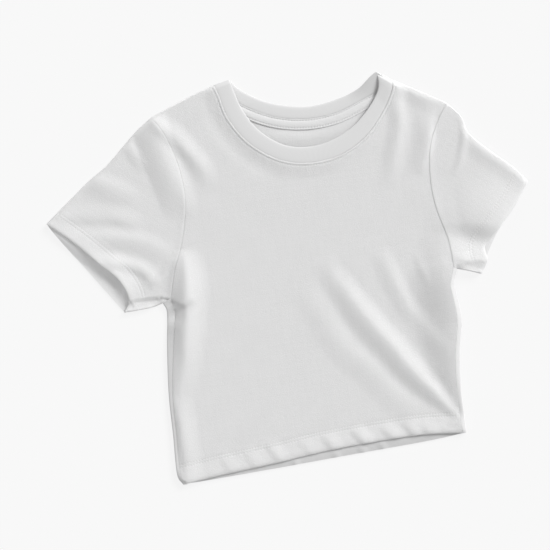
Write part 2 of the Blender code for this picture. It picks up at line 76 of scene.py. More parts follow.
# The roll where a layer turns over at a closed fold
FOLD_RADIUS = 3.2       # height of each of its halves
FOLD_DEPTH = 5.0        # how far in from the fold it reaches
FOLD_SQUARE = 7.0       # how square it is: 2 is round, more is tight at the very fold
ROLL_ROWS = (0.06, 0.3, 0.9, 2.2, 5.0)   # how far in from the fold it has an edge


class Layer(Enum):
    """Which of the two laid layers a piece of cloth is."""

    UPPER = 1
    LOWER = -1


class Side(Enum):
    """A side of the garment, seen from above, with the sign of its X."""

    LEFT = -1
    RIGHT = 1


# How far in from a closed fold the relief reaches its full height, and a seam's dip does
SIDE_EASE = {Side.LEFT: 8.0, Side.RIGHT: 4.5}
FOLD_EASE = 6.0
SEAM_EASE = 4.0


# ------------------------------------------------------------------------ lines in the plane
def smooth_line(points: Sequence | Array, steps: int = 16) -> Array:
    """A Catmull-Rom curve through points, as a fine polyline.

    Args:
        points: Rows of coordinates that the curve passes.
        steps: Pieces that each span is divided into.

    Returns:
        The polyline's points, with as many columns as the rows given.
    """
    points = np.asarray(points, float)
    padded = np.vstack([2 * points[0] - points[1], points, 2 * points[-1] - points[-2]])
    t = np.linspace(0.0, 1.0, steps, endpoint=False)[:, None]
    spans = []
    for p0, p1, p2, p3 in zip(padded, padded[1:], padded[2:], padded[3:]):
        spans.append(
            0.5 * (2 * p1 + (p2 - p0) * t + (2 * p0 - 5 * p1 + 4 * p2 - p3) * t**2
                   + (3 * p1 - p0 - 3 * p2 + p3) * t**3)
        )
    return np.vstack(spans + [points[-1:]])


def run_of(line: Array) -> Array:
    """The distance along a polyline at each of its points."""
    steps = np.linalg.norm(np.diff(line[:, :2], axis=0), axis=1)
    return np.concatenate([[0.0], np.cumsum(steps)])


def at_runs(line: Array, runs: Array) -> Array:
    """Points at distances along a polyline."""
    length = run_of(line)
    return np.column_stack([np.interp(runs, length, line[:, k]) for k in range(line.shape[1])])


def spaced(line: Array, spacing: float) -> Array:
    """Points along a polyline at about an even spacing, with both of its ends."""
    length = run_of(line)[-1]
    return at_runs(line, np.linspace(0.0, length, max(2, round(length / spacing) + 1)))


def shifted(line: Array, distance: float) -> Array:
    """A polyline moved sideways, to the left of its direction where distance is above zero.

    Args:
        line: The polyline, in the plane.
        distance: How far it moves.

    Returns:
        The moved polyline.
    """
    way = np.gradient(line, axis=0)
    way /= np.maximum(np.linalg.norm(way, axis=1), TINY)[:, None]
    return line + distance * np.column_stack([-way[:, 1], way[:, 0]])


def rows_beside(line: Array, spacing: float, offsets: Sequence[float],
                way: int = 1) -> list[Array]:
    """Rows of points beside a line.

    Args:
        line: The line.
        spacing: Distance between a row's points.
        offsets: Distance of each row from the line.
        way: 1 for rows on the line's left, -1 for rows on its right.

    Returns:
        The rows, in the order of their offsets.
    """
    even = spaced(line, spacing)
    return [shifted(even, way * off) for off in offsets]


def joined(*lines: Array) -> Array:
    """Polylines joined end to end, with no point twice in a row.

    Args:
        lines: The polylines in order.

    Returns:
        One polyline.
    """
    line = np.vstack(lines)
    keep = np.concatenate([[True], np.linalg.norm(np.diff(line, axis=0), axis=1) > SAME])
    return line[keep]


@dataclass(frozen=True)
class Nearest:
    """Where points lie from the nearest place on a polyline."""

    gap: Array
    left: Array
    run: Array


def nearest_on(line: Array, points: Array) -> Nearest:
    """Find each point's nearest place on a polyline.

    Args:
        line: The polyline, in the plane.
        points: The points, in the plane.

    Returns:
        The distance, whether the point is on the left, and the distance along the line.
    """
    start, way = line[:-1, :2], np.diff(line[:, :2], axis=0)
    length = run_of(line)
    gap = np.full(len(points), np.inf)
    left = np.zeros(len(points), bool)
    run = np.zeros(len(points))
    for k in range(len(start)):
        reach = points - start[k]
        share = np.clip(reach @ way[k] / max(way[k] @ way[k], TINY), 0.0, 1.0)
        off = reach - share[:, None] * way[k]
        here = np.hypot(off[:, 0], off[:, 1])
        closer = here < gap
        gap[closer] = here[closer]
        left[closer] = (way[k, 0] * reach[:, 1] - way[k, 1] * reach[:, 0])[closer] > 0
        run[closer] = (length[k] + share * (length[k + 1] - length[k]))[closer]
    return Nearest(gap, left, run)


def inside(points: Array, outline: Array) -> Array:
    """Which points of the plane lie inside a closed outline.

    Args:
        points: Points of the plane.
        outline: The outline's points in order.

    Returns:
        True for each point inside.
    """
    found = np.zeros(len(points), bool)
    for (x0, y0), (x1, y1) in zip(outline, np.roll(outline, -1, axis=0)):
        if y0 == y1:
            continue
        spans = (y0 > points[:, 1]) != (y1 > points[:, 1])
        found ^= spans & (points[:, 0] < x0 + (x1 - x0) * (points[:, 1] - y0) / (y1 - y0))
    return found


def around(points: Array, line: Array, reach: float) -> Array:
    """Which points lie within reach of a line's box."""
    low, high = line[:, :2].min(axis=0) - reach, line[:, :2].max(axis=0) + reach
    return np.all((points >= low) & (points <= high), axis=1)


def eased(share: Array) -> Array:
    """A soft step from 0 to 1 as a share runs from 0 to 1."""
    share = np.clip(share, 0.0, 1.0)
    return share * share * (3 - 2 * share)


def hump(share: Array) -> Array:
    """A soft hump that falls from 1 to 0 as a share runs from 0 to 1."""
    return 0.5 + 0.5 * np.cos(np.pi * np.clip(share, 0.0, 1.0))


def rolled(gap: Array) -> Array:
    """The share of a fold's half height that its roll reaches at distances in from the fold."""
    inward = 1 - np.minimum(gap, FOLD_DEPTH) / FOLD_DEPTH
    return (1 - inward**FOLD_SQUARE) ** (1 / FOLD_SQUARE)


def profile(gap: Array, table: Profile) -> Array:
    """The height that a table gives at distances from a line, and none past its last row."""
    distances, heights = zip(*table)
    return np.interp(gap, distances, heights, right=0.0)


def profile_at(line: Array, points: Array, table: Profile) -> Array:
    """The height that a table gives at points beside a line."""
    return profile(nearest_on(line, points).gap, table)


# ---------------------------------------------------------------------------- folds and steps
FOLD_STEPS = 10         # that each span of a fold's path is divided into
FOLD_MARGIN = 1.1       # widths past a fold's path beyond which it isn't looked for
CREST_ROUND = 0.1       # share of its width over which a crisp fold's crest is still rounded
LEDGE_HELD = 0.6        # share of its reach over which a ledge stays down before it fades


@dataclass(frozen=True)
class Fold:
    """A soft fold of the cloth, a ridge above zero height and a trough below.

    Each row of the path is x, y, the share of the height there and, where it isn't 1, the share of
    the widths. left and right are the widths of the two slopes, seen along the path, and crisp
    says how far each one is steep at the crest and runs out long, or below zero how far it is
    rounded at the crest and steep at its foot.
    """

    name: str
    height: float
    left: float
    right: float
    path: tuple[tuple[float, ...], ...]
    crisp: tuple[float, float] = (0.0, 0.0)

    def lift(self, points: Array) -> Array:
        """The height that the fold adds at points of the plane.

        Args:
            points: Points of the plane.

        Returns:
            The height at each point.
        """
        line = smooth_line([(*row, 1.0)[:4] for row in self.path], FOLD_STEPS)
        heights = np.zeros(len(points))
        close = around(points, line, FOLD_MARGIN * max(self.left, self.right))
        near = nearest_on(line, points[close])
        share, wide = (np.interp(near.run, run_of(line), np.maximum(line[:, k], 0.0))
                       for k in (2, 3))
        width = np.where(near.left, self.left, self.right) * wide
        crisp = np.where(near.left, *self.crisp)
        out = np.clip(near.gap / width, 0.0, 1.0)
        soft = hump(out)
        run_out = ((np.hypot(out, CREST_ROUND) - CREST_ROUND)
                   / (math.hypot(1.0, CREST_ROUND) - CREST_ROUND))
        other = np.where(crisp > 0, (1 - run_out) ** 2, 1 - out**2)
        heights[close] = self.height * share * (soft + np.abs(crisp) * (other - soft))
        return heights


@dataclass(frozen=True)
class Ledge:
    """A short step down across a line, to the right of its direction, that fades out again.

    Each row of the path is x, y and the share of the drop there. width is how far the step takes
    to go down, and reach how far from the line it is gone again.
    """

    name: str
    drop: float
    width: float
    reach: float
    path: tuple[tuple[float, float, float], ...]

    def lift(self, points: Array) -> Array:
        """The height, below zero, that the ledge adds at points of the plane.

        Args:
            points: Points of the plane.

        Returns:
            The height at each point.
        """
        line = smooth_line(self.path, FOLD_STEPS)
        heights = np.zeros(len(points))
        close = around(points, line, self.reach)
        near = nearest_on(line, points[close])
        share = np.interp(near.run, run_of(line), np.maximum(line[:, 2], 0.0))
        off = np.where(near.left, -near.gap, near.gap)
        down = eased((off + self.width / 2) / self.width)
        back = 1 - eased((off / self.reach - LEDGE_HELD) / (1 - LEDGE_HELD))
        heights[close] = -self.drop * share * down * back
        return heights


BODY_FOLDS = (
    Fold("left side roll", 6.1, 29, 22, (
        (-124, 39, 0, 0.6), (-122, 29, 0.5, 0.8), (-121, 16, 0.85, 0.9), (-122, -1, 1.1, 0.95),
        (-124, -17, 1.15, 0.95), (-126, -37, 1.0, 0.9), (-130, -62, 0.8, 0.85),
        (-133, -84, 0.55, 0.8), (-140, -108, 0.3, 0.75), (-144, -126, 0.15, 0.7),
        (-147, -143, 0, 0.7)), crisp=(0.75, 0.2)),
    Fold("left low roll", 2.5, 20, 12, (
        (-148, -123, 0), (-146, -139, 0.6), (-145, -153, 1), (-145, -173, 1),
        (-144, -195, 0.8), (-145, -218, 0.5)), crisp=(0.3, 0.2)),
    Fold("main diagonal", 4.1, 20, 25, (
        (32, 14, 0, 0.8), (42, -7, 0.3, 0.85), (54, -28, 0.65, 0.9), (68, -51, 0.9, 1),
        (82, -72, 1, 1), (97, -93, 1.05, 1), (111, -114, 1.1, 1), (126, -134, 1.05, 0.9),
        (139, -150, 0.85, 0.72), (151, -166, 0.5, 0.5), (162, -180, 0.25, 0.35),
        (170, -190, 0, 0.3)), crisp=(0.35, 0.1)),
    Fold("below the diagonal", 1.2, 20, 24, (
        (4, -12, 0), (17, -38, 0.6), (35, -74, 1), (49, -96, 1), (62, -109, 1), (79, -130, 1),
        (97, -152, 0.9), (112, -172, 0.5))),
    Fold("short diagonal", 1.5, 14, 18, (
        (94, 16, 0), (102, 0, 0.7), (108, -20, 1), (115, -40, 1), (124, -58, 0.85),
        (135, -75, 0.65), (146, -91, 0.5), (156, -106, 0.3), (162, -119, 0)), crisp=(0.3, 0)),
    Fold("light finger", 0.5, 7, 8, (
        (136, 7, 0), (139, -5, 0.8), (143, -20, 1), (146, -35, 0))),
    Fold("right side roll", 3.0, 26, 50, (
        (177, 58, 0, 0.5), (176, 36, 0.12, 0.6), (176, 18, 0.32, 0.75), (176, 3, 0.6, 0.88),
        (175, -13, 0.88, 0.97), (173, -34, 1, 1), (173, -57, 1, 0.97), (172, -79, 0.9, 0.95),
        (169, -102, 0.85, 0.92), (166, -124, 0.7, 0.72), (166, -143, 0.4, 0.5),
        (168, -160, 0.12, 0.35), (169, -177, 0, 0.2)), crisp=(0, -0.1)),
    Fold("right chest", 2.2, 14, 16, (
        (135, 203, 0.5), (135, 187, 0.8), (135, 169, 1), (135, 153, 1.1), (130, 134, 1),
        (125, 117, 0.8), (119, 95, 0.4), (116, 79, 0)), crisp=(0.5, 0)),
    Fold("right armhole", 2.5, 10, 18, (
        (172, 170, 0), (169, 154, 0.5), (166, 139, 1.05), (162, 122, 1.15), (155, 106, 0.6),
        (151, 91, 0)), crisp=(0, -0.3)),
    Fold("right shoulder", 1.8, 8, 20, (
        (135, 201, 0.3), (146, 194, 0.9), (160, 185, 1), (172, 176, 0.8), (183, 170, 0.4),
        (191, 164, 0))),
    Fold("left shoulder", 2.7, 17, 15, (
        (-139, 187, 0.35), (-125, 174, 0.8), (-115, 163, 1), (-104, 148, 1), (-93, 131, 0.8),
        (-86, 114, 0.3), (-83, 100, 0)), crisp=(0.4, 0)),
    Fold("left neck dip", -1.0, 15, 22, (
        (-71, 211, 0), (-65, 181, 0.8), (-54, 162, 1), (-39, 142, 0.9), (-23, 125, 0.5),
        (-4, 111, 0))),
    Fold("underarm notch", -3.4, 8, 12, (
        (-155, -30, 0.8, 1.5), (-146, -32, 1, 1.45), (-138, -33, 1, 1.2), (-131, -29, 0.9, 1),
        (-124, -24, 0.6, 0.85), (-118, -17, 0, 0.8))),
    Fold("left seam rise", 1.0, 8, 16, (
        (-131, 40, 0), (-132, 24, 0.8), (-135, 11, 1), (-137, -2, 0.7), (-140, -16, 0))),
)
SLEEVE_FOLDS = (
    Fold("left sleeve cap", 3.9, 20, 24, (
        (-141, 188, 0.7), (-137, 172, 1), (-134, 150, 1.05), (-128, 130, 1), (-122, 110, 0.8),
        (-117, 91, 0.5), (-116, 72, 0)), crisp=(0, -0.7)),
    Fold("left sleeve top", 0.9, 9, 12, (
        (-174, 166, 0.5), (-167, 157, 1), (-159, 143, 0.9), (-152, 129, 0))),
    Fold("left sleeve middle", 1.7, 17, 22, (
        (-237, 144, 0), (-227, 137, 0.6), (-213, 128, 1), (-196, 118, 1), (-179, 108, 0.6),
        (-161, 96, 0))),
    Fold("left sleeve upper cuff", 1.5, 18, 12, (
        (-259, 94, 0.4), (-243, 90, 0.7), (-227, 87, 0.8), (-210, 85, 0.7), (-194, 83, 1),
        (-179, 77, 0.7), (-165, 67, 0))),
    Fold("left sleeve lower", 1.9, 15, 20, (
        (-235, 67, 0), (-218, 64, 0.7), (-199, 61, 1), (-179, 57, 1), (-160, 50, 0.8),
        (-144, 41, 0.4), (-133, 35, 0)), crisp=(0.3, 0)),
    Fold("left cuff crescent", 2.1, 13, 11, (
        (-211, 36, 0), (-200, 34, 0.8), (-183, 29, 1), (-168, 20, 1), (-161, 10, 0.7),
        (-159, 0, 0)), crisp=(0.3, 0)),
    Fold("left underarm streak", 0.8, 5, 6, (
        (-165, -3, 0), (-157, 5, 0.8), (-148, 13, 1), (-138, 24, 0.7), (-132, 32, 0))),
    Fold("left cuff edge", 2.6, 26, 8, (
        (-271, 85, 0.4), (-256, 75, 0.8), (-236, 56, 1), (-218, 34, 1.25), (-203, 22, 1.5),
        (-195, 5, 1.3), (-187, -11, 0.4))),
    Fold("right sleeve seam light", 1.5, 8, 7, (
        (207, 161, 0.5), (207, 143, 1), (204, 126, 1), (198, 106, 0.8), (188, 85, 0))),
    Fold("right sleeve top roll", 1.6, 8, 22, (
        (213, 134, 0.2), (219, 122, 0.8), (231, 110, 1), (245, 98, 0.9), (257, 87, 0.9),
        (266, 76, 0.5))),
    Fold("right sleeve crest", 6.0, 62, 27, (
        (150, 39, 0, 0.55), (168, 37, 0.18, 0.62), (185, 36, 0.52, 0.75), (199, 35, 0.9, 0.92),
        (216, 32, 1.1, 1.05), (231, 29, 1, 1.1), (248, 25, 0.6, 1.1))),
    Fold("right cuff flap", 3.6, 30, 11, (
        (172, 14, 0, 1), (178, 2, 0.15, 1), (188, -7, 0.75, 1), (201, -10, 0.9, 1),
        (216, -13, 0.65, 0.95), (226, -13, 0.4, 0.85)), crisp=(0, 0.3)),
)
# Where a side fold stands off the table or sinks, both layers follow
RAISED_SIDES = (
    Fold("right side lift", 7.0, 48, 50, (
        (177, 58, 0, 0.5), (177, 36, 0.08, 0.6), (176, 18, 0.25, 0.75), (176, 2, 0.5, 0.88),
        (176, -13, 0.85, 0.97), (173, -34, 1.05, 1), (175, -57, 1.02, 0.97),
        (174, -80, 0.9, 0.95), (171, -102, 0.75, 0.92), (167, -124, 0.55, 0.72),
        (168, -143, 0.35, 0.5), (169, -164, 0.15, 0.3), (170, -184, 0, 0.15)), crisp=(0, -0.1)),
    Fold("left edge", -5.0, 24, 14, (
        (-155, -13, 0), (-155, -22, 0.5), (-156, -31, 0.85), (-157, -41, 0.8),
        (-157, -54, 0.6), (-159, -70, 0.42), (-163, -103, 0.34), (-164, -130, 0.2),
        (-165, -159, 0.05), (-166, -189, 0))),
)
# Puckers that the hem's stitching pulls in, as short ridges from the stitches to the edge
HEM_PUCKERS = tuple(
    Fold(f"hem pucker {k}", height, 14, 8, (
        (x0 - 3, y0 + 5, 0), (x0, y0, 0.7), ((x0 + x1) / 2, (y0 + y1) / 2, 1), (x1, y1, 0.8)))
    for k, (height, x0, y0, x1, y1) in enumerate((
        (0.7, -102, -198, -95, -211), (0.6, -76, -194, -68, -208), (1.0, -50, -190, -41, -204),
        (0.6, -14, -189, -4, -202), (1.1, 13, -187, 22, -200), (1.4, 46, -184, 57, -197),
        (1.1, 79, -184, 90, -196), (1.1, 105, -183, 114, -195), (0.9, 123, -184, 130, -195),
        (0.8, 156, -185, 171, -194))))
UPPER_FOLDS = BODY_FOLDS + SLEEVE_FOLDS + HEM_PUCKERS
# The back shows in the cuff's mouth, below the hem's edge and inside the neck
LOWER_FOLDS = (
    Fold("back of the left cuff", 5.0, 20, 15, (
        (-267, 80, 0.6), (-256, 73, 1.1), (-241, 59, 1.1), (-222, 43, 1), (-204, 29, 0.95),
        (-192, 17, 0.9), (-187, -1, 0.8), (-181, -12, 0.4))),
    Fold("back hem", 3.3, 14, 16, (
        (-147, -219, 0), (-125, -216.5, 0.8), (-100, -213.5, 1), (-60, -208.5, 1),
        (0, -203.5, 1), (50, -198.5, 1), (100, -196, 1), (140, -194.5, 0.9), (166, -196, 0)),
        crisp=(-0.4, 0)),
    Fold("back below the neck", 2.3, 9, 25, (
        (-38, 161, 0), (-20, 156, 0.2), (5, 151, 0.8), (32, 147.5, 1), (62, 151, 1),
        (92, 162, 0.6), (112, 174, 0))),
) + tuple(
    Fold(f"back hem pucker {k}", 0.7, 6, 6, (
        (x - 8, y + 14, 0), (x, y, 1), (x + 5, y - 8, 0.8)))
    for k, (x, y) in enumerate(((-23, -213), (23, -209), (52, -205), (75, -204))))
LEDGES = (
    Ledge("left underarm strip", 2.4, 1.6, 14, (
        (-187, -12.5, 0.8), (-176, -11.5, 1), (-165, -11.7, 1), (-153, -11.8, 1),
        (-145, -14, 0.8), (-136, -19, 0.5))),
    Ledge("right underarm strip", 1.0, 1.4, 14, (
        (182, -16, 0.4), (188, -12, 1), (196, -11, 1), (205, -11.5, 1), (217, -13.5, 1))),
)

# ----------------------------------------------------------------------------- the outline
SIDE_FOLD = {
    Side.LEFT: ((-151, -221.8), (-156.6, -209), (-156, -165), (-155.8, -120), (-151.6, -66),
                (-147.4, -30), (-150.7, -18)),
    Side.RIGHT: ((170, -200), (169.6, -182), (169.4, -152), (172, -112), (178.2, -72),
                 (174.6, -34), (180, -17)),
}
# How far in from each of the side fold's points, but the last, the side seam lies
SEAM_IN = {
    Side.LEFT: (4.5, 4.0, 3.6, 4.4, 7.5, 9.2),
    Side.RIGHT: (4.0, 4.5, 5.0, 5.0, 5.0, 5.0),
}
ARMHOLE = {
    Side.LEFT: ((-141, -13), (-133.2, 17.4), (-120.2, 52), (-112.8, 92), (-115.8, 131),
                (-127.2, 168), (-140.6, 189.6)),
    Side.RIGHT: ((175.5, -14.5), (173.6, 16), (164.5, 52), (161.5, 84), (165.2, 120),
                 (177, 149), (189.6, 168.9)),
}
SLEEVE_TOP = {
    Side.LEFT: ((-140.6, 189.6), (-161, 174.3), (-194, 143.4), (-216.4, 128), (-241.2, 108.2),
                (-270.2, 84.6)),
    Side.RIGHT: ((189.6, 168.9), (204, 152), (211, 132), (232, 110.5), (255, 90),
                 (270.4, 71.9)),
}
SLEEVE_UNDER = {
    Side.LEFT: ((-150.7, -18), (-165.8, -21.7), (-194.4, -23.8)),
    Side.RIGHT: ((180, -17), (192, -20.5), (206.8, -25.8)),
}
CUFF = {
    (Side.LEFT, Layer.UPPER): ((-194.4, -23.8), (-188, -9), (-196.6, 13), (-214, 31),
                               (-239, 57), (-270.2, 84.6)),
    (Side.LEFT, Layer.LOWER): ((-194.4, -23.8), (-231, 28), (-270.2, 84.6)),
    (Side.RIGHT, Layer.UPPER): ((206.8, -25.8), (214.8, -11), (214.4, 6), (231.6, 23.2),
                                (250.5, 44.5), (270.4, 71.9)),
    (Side.RIGHT, Layer.LOWER): ((206.8, -25.8), (217, -3), (232.4, 22), (251.5, 43.8),
                                (270.4, 71.9)),
}
SHOULDER = {
    Side.LEFT: ((-140.6, 189.6), (-105, 204), (-66.5, 218)),
    Side.RIGHT: ((189.6, 168.9), (163, 184.4), (132.4, 201.2)),
}
HEM = {
    Layer.UPPER: ((-151, -221.8), (-100, -215.7), (-41, -209.5), (5.2, -203.6), (51, -199.8),
                  (118.7, -196.8), (170, -200)),
    Layer.LOWER: ((-151, -221.8), (-41.3, -215.1), (27, -210.6), (118, -204.8), (170, -200)),
}
# Rows of the neckband: its seam's x and y, then its folded edge's x and y
NECK = {
    Layer.UPPER: (
        (-66.5, 218, -48.6, 222), (-61.8, 204, -44.2, 205), (-54.1, 177.5, -36.8, 184),
        (-33.8, 148.1, -20.8, 160.2), (-2.4, 126.5, 4.6, 142), (31, 119.5, 32.6, 137.2),
        (65, 124.5, 58.4, 142), (95, 141.4, 83.6, 155), (117.5, 167, 104.6, 175.4),
        (129.4, 188, 115.4, 193.6), (132.4, 201.2, 115.8, 212.2)),
    Layer.LOWER: (
        (-66.5, 218, -48.6, 222), (-57, 207, -38.4, 209.8), (-30, 187.6, -17.2, 196),
        (0, 174.2, 6.4, 187.2), (33, 168.8, 35.6, 182.4), (66, 171.9, 64.6, 186),
        (98, 183.6, 91.8, 195), (122, 193.6, 108.2, 207.6), (132.4, 201.2, 115.8, 212.2)),
}


SHOULDER_CUT = 2        # points left out at each end of a shoulder's line, beside the seams


def smoothed(table: dict) -> dict:
    """A table of lines with each one smoothed."""
    return {key: smooth_line(points) for key, points in table.items()}


class Outline:
    """The laid garment's folds and seams, as fine polylines shared by every piece."""

    def __init__(self) -> None:
        """Smooth the outline's tables into lines."""
        self.side = smoothed(SIDE_FOLD)
        self.armhole = smoothed(ARMHOLE)
        self.over = smoothed(SLEEVE_TOP)
        self.under = smoothed(SLEEVE_UNDER)
        self.cuff = smoothed(CUFF)
        self.shoulder = smoothed(SHOULDER)
        self.hem = smoothed(HEM)
        neck = smoothed(NECK)
        self.neck_seam = {layer: line[:, :2] for layer, line in neck.items()}
        self.neck_edge = {layer: line[:, 2:] for layer, line in neck.items()}
        # Each closed fold, with how far in from it the soft folds reach their full height
        self.closed = [(line, SIDE_EASE[side]) for side, line in self.side.items()]
        self.closed += [(line, FOLD_EASE) for line in (
            *self.over.values(), *self.under.values(), *self.shoulder.values())]

    def side_seam(self, side: Side) -> Array:
        """The seam between front and back, which lies a little in from the side fold."""
        return smooth_line([(x - side.value * off, y)
                            for (x, y), off in zip(SIDE_FOLD[side], SEAM_IN[side])])

    def shoulder_between(self, side: Side) -> Array:
        """A shoulder's fold without its points next to the neck and the armhole."""
        return self.shoulder[side][SHOULDER_CUT:-SHOULDER_CUT]

    def whole_armhole(self, side: Side) -> Array:
        """The armhole from the side fold, past the side seam's end, to the shoulder tip."""
        return joined(self.side[side][-1:], self.armhole[side])


# ------------------------------------------------------------------------------- laid layers
NECK_RISE = 1.8         # how far the neck seam stands above the front
NECK_SLOPE = 20.0
HEM_SINK = 0.6          # how far the front sinks towards the back near the hem
HEM_SLOPE = 45.0
LOWER_SPREAD = 0.4      # widths of the raised sides in the lower layer, to the upper one's


class LaidCloth:
    """The heights of the two laid layers, outer faces, at any place in the plane."""

    def __init__(self, outline: Outline) -> None:
        """Keep the outline whose folds shape the layers."""
        self.outline = outline

    def from_folds(self, points: Array) -> tuple[Array, Array]:
        """How far each point lies from the closed folds.

        Args:
            points: Points of the plane.

        Returns:
            The distance to the nearest fold, and the share of the soft folds' height there.
        """
        gaps = [(nearest_on(line, points).gap, reach) for line, reach in self.outline.closed]
        return (np.min([gap for gap, _ in gaps], axis=0),
                np.min([eased(gap / reach) for gap, reach in gaps], axis=0))

    def seam_ease(self, points: Array) -> Array:
        """The share of a seam's own relief that points near the closed folds take."""
        return eased(self.from_folds(points)[0] / SEAM_EASE)

    def raised(self, points: Array, spread: float = 1.0) -> Array:
        """How far the raised sides lift points, each lift's widths times spread.

        Args:
            points: Points of the plane.
            spread: What the widths are multiplied by.

        Returns:
            The height at each point.
        """
        lifts = [replace(form, left=form.left * spread, right=form.right * spread).lift(points)
                 for form in RAISED_SIDES]
        return np.sum(lifts, axis=0)

    def upper(self, points: Array) -> Array:
        """Heights of the upper layer's outer face.

        Args:
            points: Points of the plane.

        Returns:
            The height at each point.
        """
        gap, ease = self.from_folds(points)
        from_neck = nearest_on(self.outline.neck_seam[Layer.UPPER], points).gap
        from_hem = nearest_on(self.outline.hem[Layer.UPPER], points).gap
        relief = NECK_RISE * (1 - eased(from_neck / NECK_SLOPE))
        relief -= HEM_SINK * (1 - eased(from_hem / HEM_SLOPE))
        for form in (*UPPER_FOLDS, *LEDGES):
            relief = relief + form.lift(points)
        rise = FOLD_RADIUS * (1 + rolled(gap))
        return rise + relief * ease + self.raised(points)

    def lower(self, points: Array) -> Array:
        """Heights of the lower layer's outer face, which rests on the table.

        Args:
            points: Points of the plane.

        Returns:
            The height at each point, none below the table.
        """
        gap, ease = self.from_folds(points)
        relief = np.zeros(len(points))
        for form in LOWER_FOLDS:
            relief = relief + form.lift(points)
        rise = FOLD_RADIUS * (1 - rolled(gap))
        return np.maximum(rise + relief * ease + self.raised(points, LOWER_SPREAD), 0.0)


# --------------------------------------------------------------------------------- stitches
GROOVE_ROWS = (-1.3, -0.6, 0.0, 0.6, 1.3)        # of the cloth's mesh, beside a stitch row
# Rings of a thread bar, as place along it and share of its size, and the section of each, as
# places across and up
BAR_RINGS = ((-0.5, 0.25), (-0.3, 0.85), (0.0, 1.0), (0.3, 0.85), (0.5, 0.25))
BAR_SECTION = ((-1.0, -0.6), (-0.65, 0.5), (0.0, 1.0), (0.65, 0.5), (1.0, -0.6))
BAR_AHEAD = 0.2         # how far ahead a bar's direction is read


@dataclass(frozen=True)
class StitchRow:
    """One row of machine stitches along a line, with the groove that its thread pulls in."""

    line: Array
    pitch: float = 3.2
    bar: float = 1.9            # length of thread that shows in each stitch
    thread: float = 0.19        # half its width
    flatness: float = 0.6       # its height to half its width
    depth: float = 0.09         # of the groove
    reach: float = 1.5          # of the groove to each side
    hole: float = 0.26          # how much deeper each needle hole is
    hole_reach: float = 0.9
    steps: int = 6              # of the cloth's mesh along a stitch

    def groove(self, points: Array) -> Array:
        """The depth that the stitches pull the cloth in by, deepest at each needle hole.

        Args:
            points: Points of the plane.

        Returns:
            The height at each point, zero or below.
        """
        depth = np.zeros(len(points))
        close = around(points, self.line, self.reach)
        near = nearest_on(self.line, points[close])
        past = (near.run + self.pitch / 2) % self.pitch - self.pitch / 2
        from_hole = np.hypot(past, near.gap)
        depth[close] = (-self.depth * hump(near.gap / self.reach)
                        - self.hole * hump(from_hole / self.hole_reach))
        return depth

    def rows(self) -> Array:
        """Points beside the row at which the cloth's mesh shows the groove.

        Returns:
            The points of all rows.
        """
        count = max(1, round(run_of(self.line)[-1] / self.pitch * self.steps))
        runs = np.arange(1, count) * self.pitch / self.steps
        return np.vstack([at_runs(shifted(self.line, off), runs) for off in GROOVE_ROWS])

    def threads(self, height: Height) -> tuple[Array, Faces]:
        """Build the row's thread bars on the cloth.

        Args:
            height: The cloth's height at points of the plane.

        Returns:
            The bars' points in millimetres, and their faces.
        """
        runs = np.arange(self.pitch / 2, run_of(self.line)[-1] - self.pitch / 2, self.pitch)
        rings = []
        for place, scale in BAR_RINGS:
            centre = at_runs(self.line, runs + place * self.bar)
            way = at_runs(self.line, runs + place * self.bar + BAR_AHEAD) - centre
            way /= np.linalg.norm(way, axis=1)[:, None]
            across = np.column_stack([-way[:, 1], way[:, 0]])
            base = height(centre)
            for u, w in BAR_SECTION:
                flat = centre + across * (u * scale * self.thread)
                up = base + w * scale * self.thread * self.flatness
                rings.append(np.column_stack([flat, up]))
        points = np.stack(rings, axis=1)
        wide, tall = len(BAR_SECTION), len(BAR_RINGS)
        bar = grid_faces(tall, wide)
        bar += [(row, row + wide - 1, row + 2 * wide - 1, row + wide)
                for row in range(0, (tall - 1) * wide, wide)]
        bar += [tuple(range(wide)), tuple(range(tall * wide - 1, (tall - 1) * wide - 1, -1))]
        faces = [tuple(i + n * tall * wide for i in face) for n in range(len(runs))
                 for face in bar]
        return points.reshape(-1, 3), faces


# ------------------------------------------------------------------------------ mesh building
CLOSEST = 0.28          # that two points inside an outline may lie
CLEAR = 0.55            # share of the spacing that an even point keeps from every other row
SNAP = 1e-5             # within which the triangulation joins two points
WELD_DIGITS = 3         # to which two places count as one, in millimetres


def grid_faces(rows: int, columns: int, looped: bool = False) -> Faces:
    """Quads between neighbours in a grid of points that are numbered row by row.

    Args:
        rows: How many rows there are.
        columns: How many points there are in a row.
        looped: Whether the last row and column join the first ones.

    Returns:
        The quads, a row of them at a time.
    """
    faces = []
    for j in range(rows if looped else rows - 1):
        for i in range(columns if looped else columns - 1):
            a, b = j * columns, (j + 1) % rows * columns
            k = (i + 1) % columns
            faces.append((a + i, b + i, b + k, a + k))
    return faces


def tree_of(points: Array) -> KDTree:
    """A search tree over points of the plane.

    Args:
        points: Points of the plane.

    Returns:
        The tree, balanced, with each point's place as its index.
    """
    tree = KDTree(len(points))
    for k, (x, y) in enumerate(points):
        tree.insert((x, y, 0.0), k)
    tree.balance()
    return tree


